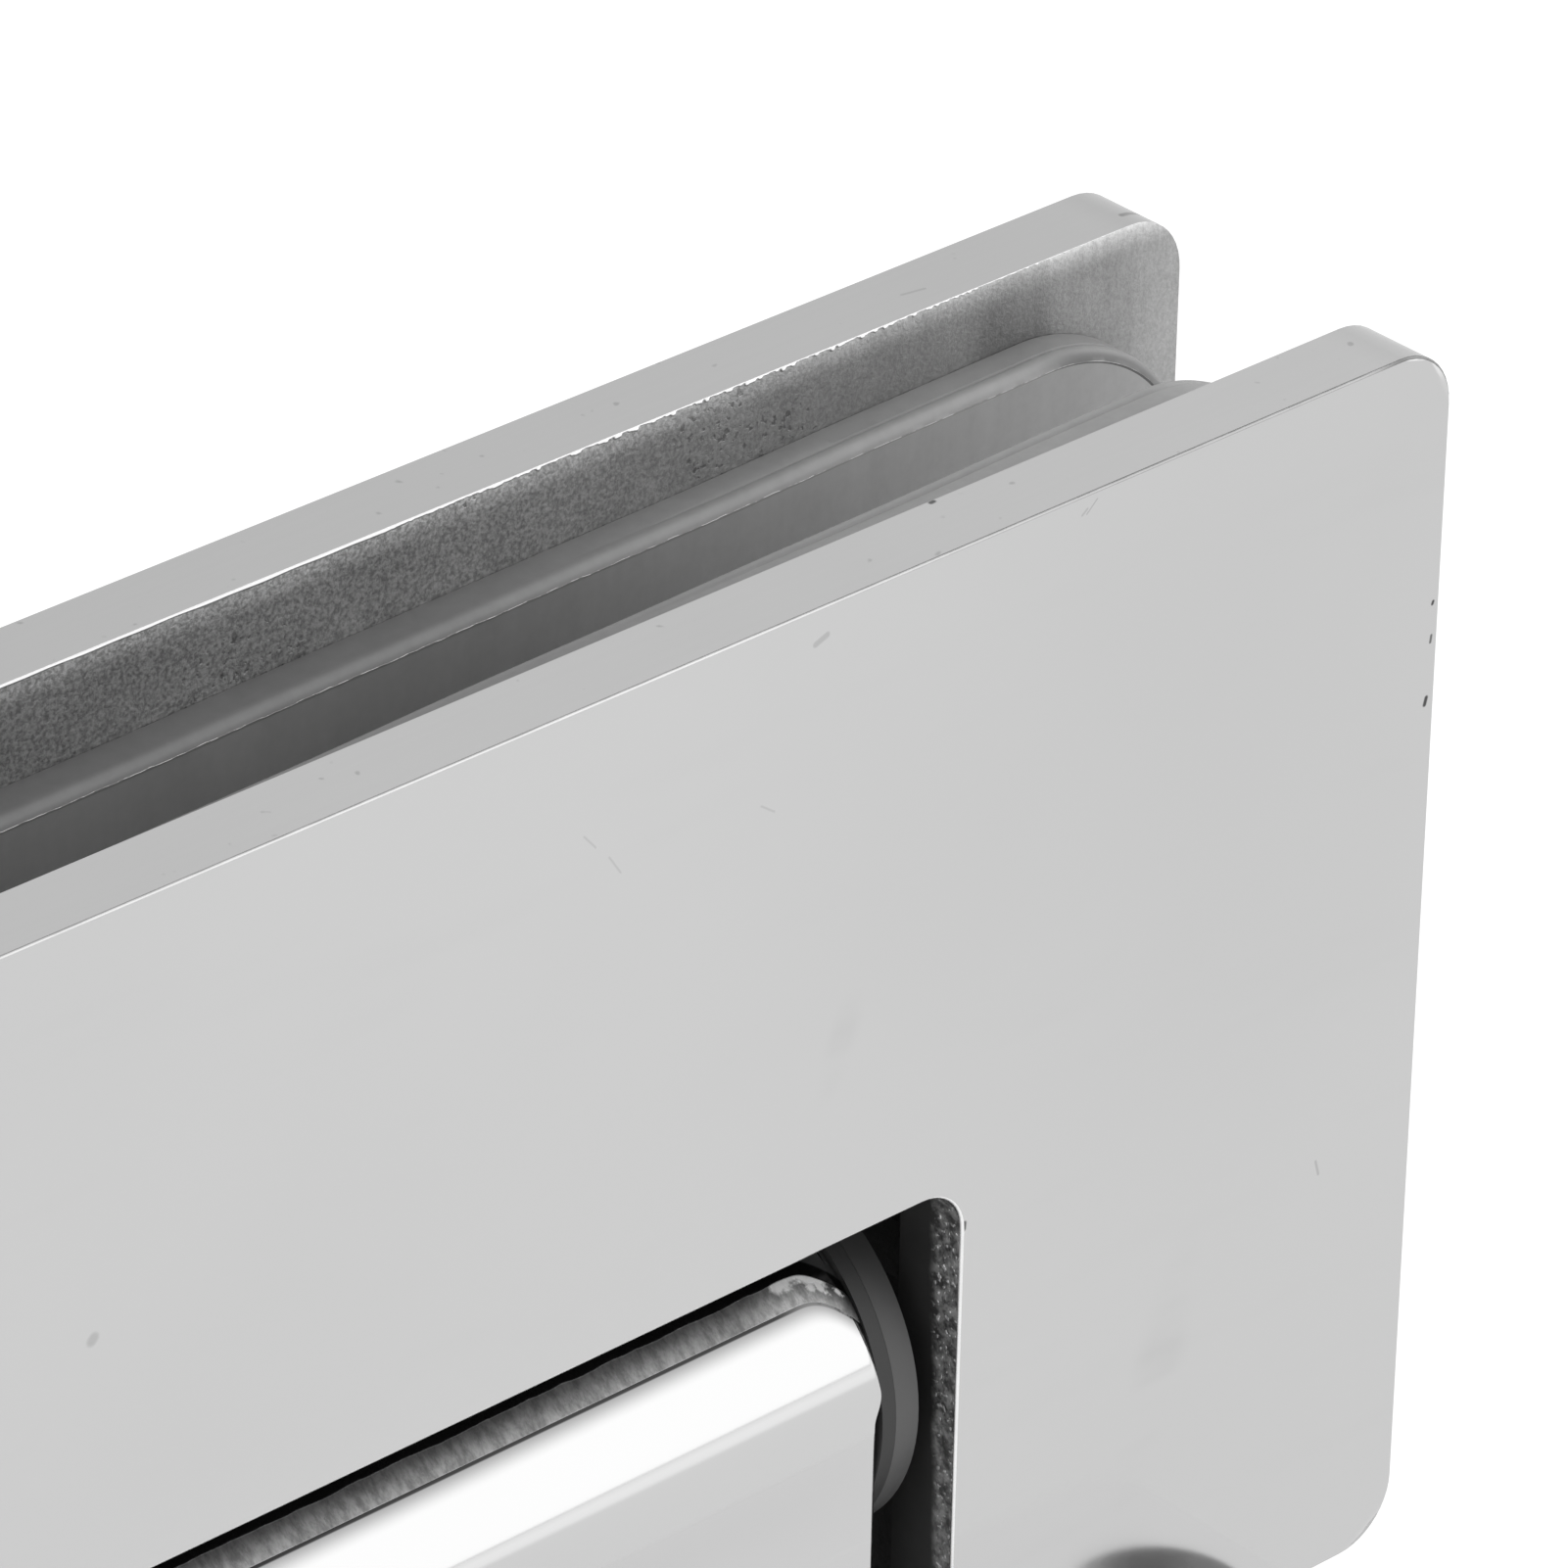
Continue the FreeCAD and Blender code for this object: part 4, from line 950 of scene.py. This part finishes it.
def makeKnuckle(data):
    # The CAD block without its outside, which is beyond the skin's sizes and doesn't face down, and the
    # skin in its place.
    block = mergedMesh("knuckle", "knuckleBlock")
    centres, normals = faceArrays(block)
    away = np.hypot(centres[:, 1], centres[:, 2] - data["axis"])
    under = normals[:, 2] < -0.9
    outer = np.abs(centres[:, 1]) > data["skinOut"]
    outer = outer | ((away > data["skinAround"]) & (centres[:, 2] > data["swellLow"]))
    outer = outer | ((np.abs(centres[:, 0]) > data["skinEnd"]) & (np.abs(normals[:, 0]) > 0.9))
    work = bmesh.new()
    work.from_mesh(block)
    work.faces.ensure_lookup_table()
    gone = [work.faces[int(index)] for index in np.flatnonzero(outer & ~under)]
    bmesh.ops.delete(work, geom=gone, context="FACES")
    kept = len(work.faces)
    work.from_mesh(knuckleSkin(data))
    work.to_mesh(block)
    work.free()
    piece = addPiece("knuckleBlock", block, "wall_side", "knuckle")
    finishPiece(piece, 50, ("knuckle", "bore"), (np.arange(len(block.polygons)) < kept).astype(int))


makeKnuckle(knuckle)

# Springs: merged copies that ride with the wall side, each with a mesh of its own.
for side in ("left", "right"):
    spring = mergedCopy(f"detent_spring_{side}", f"detentSpring{side.capitalize()}", "wall_side",
                        ("spring",))
    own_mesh(spring)
print("metal pieces finished")

# Pieces that stay as the CAD has them, by the start of their names.
plainPieces = {"knuckle_screw": "screw", "pin_screw": "screw", "detent_bar": "pin"}
for nodeName, item in cadNodes.items():
    for start, key in plainPieces.items():
        if nodeName.startswith(start):
            for place in item.material_slots:
                place.material = finishes[key]

# Gaskets: soft sheets with a rounded lip, a crease and a line of moulding flash.
gasket = {
    "half": 49.0, "legInner": 44.41, "notchTop": -20.7, "foot": -46.0,
    "shoulder": 8.4, "footRadius": 1.99, "thickness": 2.1,
    "lip": 0.55, "flash": 0.08, "creaseDepth": 0.10, "waviness": 0.05,
    "creaseFrom": 12.0, "creaseFull": 30.0,  # the crease deepens towards the right end
    "flashFrom": 24.0, "flashEnd": 34.0,  # the flash fades out there
    "step": 0.25,  # distance between points along the outline
    "seed": 11,
}
gasketPlaces = {
    # name: way towards its plate, shift, drop, tilt in degrees, and how far its left leg stands in
    "front": (-1, -2.2, 1.05, 1.15, 1.0),
    "back": (1, 0.95, 4.2, 1.17, 0.0),
}


def roundedOutline(corners, radii, step):
    # Closed outline: straight runs between the corners, each corner replaced by an arc of its radius.
    corners = np.array(corners, float)
    before, after = np.roll(corners, 1, 0), np.roll(corners, -1, 0)
    points = []
    for spot, last, following, radius in zip(corners, before, after, radii):
        inward = (last - spot) / np.linalg.norm(last - spot)
        outward = (following - spot) / np.linalg.norm(following - spot)
        centre = spot + (inward + outward) * radius
        first, final = spot + inward * radius - centre, spot + outward * radius - centre
        steps = np.linspace(0, math.pi / 2, max(6, int(radius * math.pi / 2 / step)))[:, None]
        points.append(centre + first * np.cos(steps) + final * np.sin(steps))
    closed = np.vstack(points + [points[0][:1]])
    lengths = np.r_[0, np.cumsum(np.linalg.norm(np.diff(closed, axis=0), axis=1))]
    even = np.linspace(0, lengths[-1], int(lengths[-1] / step), endpoint=False)
    return np.c_[np.interp(even, lengths, closed[:, 0]), np.interp(even, lengths, closed[:, 1])]


def softNoise(values, seed, *waves):
    # Sum of sines with fixed random phases, from -1 to 1.
    phases = np.random.default_rng(seed).uniform(0, 2 * math.pi, len(waves))
    return sum(np.sin(values * wave + phase) for wave, phase in zip(waves, phases)) / len(waves)


def gasketProfile(thick, lip):
    # Steps through the sheet: depth from the plate, offset outwards, share of the crease, share of the
    # flash. The lip is a quarter circle, less its last 10 degrees.
    turn = np.radians(np.array((0, 30, 60, 80)))
    lipStart = thick - lip
    depths = np.r_[0.0, 0.03, 0.14, 0.6, lipStart - 0.32, lipStart - 0.24, lipStart - 0.14,
                   lipStart + lip * np.sin(turn), thick - 0.005, thick + 0.02, thick - 0.03]
    offsets = np.r_[-0.14, -0.04, np.zeros(5), lip * np.cos(turn) - lip, -0.46, -0.47, -0.56]
    crease, flash = np.zeros(len(depths)), np.zeros(len(depths))
    crease[5] = -1.0
    flash[-3:-1] = (1.0, 0.9)
    return depths, offsets, crease, flash


def gasketMesh(name, place, seed):
    # The outline is carried through the sheet's thickness. Each step of the profile has a depth from the
    # plate and an offset outwards; the flash stands out by a length that changes along the outline.
    way, shift, drop, tilt, inset = place
    data = gasket
    half, leg, top, foot = data["half"], data["legInner"], data["notchTop"], data["foot"]
    corners = [(inset - half, foot), (inset - leg, foot), (inset - leg, top), (leg, top), (leg, foot),
               (half, foot), (half, 0.0), (inset - half, 0.0)]
    radii = [data["footRadius"]] * 6 + [data["shoulder"]] * 2
    line = roundedOutline(corners, radii, data["step"])
    ahead = unit(np.roll(line, -1, 0) - np.roll(line, 1, 0))
    outward = np.c_[ahead[:, 1], -ahead[:, 0]]
    along = np.arange(len(line)) * data["step"]
    depths, offsets, crease, flash = gasketProfile(data["thickness"], data["lip"])
    deeper = (line[:, 0] - data["creaseFrom"]) / (data["creaseFull"] - data["creaseFrom"])
    creaseHere = data["creaseDepth"] * np.clip(deeper, 0, 1)
    uneven = np.clip(0.62 + 0.6 * softNoise(along, seed, 1.1, 2.3, 4.9, 9.1), 0.3, 1)
    fading = (data["flashEnd"] - line[:, 0]) / (data["flashEnd"] - data["flashFrom"])
    flashHere = data["flash"] * uneven * np.clip(fading, 0.1, 1)
    wave = data["waviness"] * softNoise(along, seed + 1, 0.11, 0.23, 0.41)
    offset = offsets[:, None] + crease[:, None] * creaseHere + flash[:, None] * flashHere + wave
    flat = line[None] + outward[None] * offset[:, :, None]
    turned = math.radians(tilt)
    x = flat[..., 0] * math.cos(turned) - flat[..., 1] * math.sin(turned) + shift
    z = flat[..., 0] * math.sin(turned) + flat[..., 1] * math.cos(turned) + part["plateTop"] - drop
    y = np.broadcast_to((way * (part["plateInner"] - depths))[:, None], x.shape)
    rows, count = x.shape
    points = np.stack((x, y, z), -1).reshape(-1, 3) * mm
    grid = np.arange(rows * count).reshape(rows, count)
    beside = np.roll(grid, -1, 1)
    quads = np.stack((grid[:-1], beside[:-1], beside[1:], grid[1:]), -1).reshape(-1, 4)
    caps = [grid[0].tolist()[::-1], grid[-1].tolist()]
    if way > 0:
        quads = quads[:, ::-1]
        caps = [cap[::-1] for cap in caps]
    mesh = bpy.data.meshes.new(name)
    mesh.from_pydata(points.tolist(), [], quads.tolist() + caps)
    smooth = np.ones(len(mesh.polygons), bool)
    smooth[-2:] = False
    mesh.polygons.foreach_set("use_smooth", smooth)
    mesh.set_sharp_from_angle(angle=math.radians(50))
    for key in ("rubber", "flash", "glassSide"):
        mesh.materials.append(finishes[key])
    picked = np.zeros(len(mesh.polygons), np.int32)
    picked[(rows - 4) * count:(rows - 2) * count] = 1
    picked[-1] = 2
    mesh.polygons.foreach_set("material_index", picked)
    mesh.update()
    return mesh


for number, (which, place) in enumerate(gasketPlaces.items()):
    sheet = gasketMesh(f"{which}GasketSheet", place, gasket["seed"] + number)
    addPiece(f"{which}GasketSheet", sheet, "glass_clamp", f"{which}_gasket")
print("gaskets made")

# Burr left along the back plate's inner top edge.
burr = {
    "start": -49.0, "end": 47.5, "step": 0.06, "width": 0.18, "tooth": 0.15,
    "edge": part["plateInner"], "top": part["plateTop"],
    "brokenFrom": 4.0, "brokenFull": 22.0,  # where it breaks into teeth
    "fadeFrom": 28.0, "fadeEnd": 47.0,
    "seed": 5,
}


def burrMesh(data):
    # Rolled lip under the sharp edge, worked out along the plate: it stands out from the inner face by its
    # bulge, hangs down by its width, and leans. Towards the right end it breaks into teeth and fades out.
    x = np.arange(data["start"], data["end"], data["step"])
    random = np.random.default_rng(data["seed"])
    broken = smoothStep(x, data["brokenFrom"], data["brokenFull"])
    fade = 1 - smoothStep(x, data["fadeFrom"], data["fadeEnd"])
    teeth = np.repeat(random.uniform(0, 1, len(x) // 3 + 1), 3)[:len(x)] ** 2
    drift = 0.8 + 0.2 * softNoise(x, 3, 0.35, 0.9, 2.1)
    hanging = data["width"] * drift * (1 - 0.65 * broken) + data["tooth"] * teeth * broken
    low = hanging * (0.25 + 0.75 * fade)
    bulge = 0.72 * low
    lean = 0.8 * low * broken
    edge, top = data["edge"], data["top"]
    rows = (
        np.c_[x, np.full(len(x), edge + 0.03), np.full(len(x), top - 0.001)],
        np.c_[x, edge - bulge * 0.15, top - 0.06 * low],
        np.c_[x - lean * 0.5, edge - bulge * 0.65, top - 0.45 * low],
        np.c_[x - lean * 0.9, edge - bulge, top - 0.86 * low],
        np.c_[x - lean, np.full(len(x), edge + 0.02), top - low],
    )
    points = np.stack(rows).reshape(-1, 3) * mm
    mesh = bpy.data.meshes.new("backPlateBurr")
    mesh.from_pydata(points.tolist(), [], gridQuads(len(rows), len(x))[:, (0, 3, 2, 1)].tolist())
    mesh.polygons.foreach_set("use_smooth", np.ones(len(mesh.polygons), bool))
    mesh.materials.append(finishes["burr"])
    mesh.update()
    return mesh


addPiece("backPlateBurr", burrMesh(burr), "glass_clamp")
print("burr made")
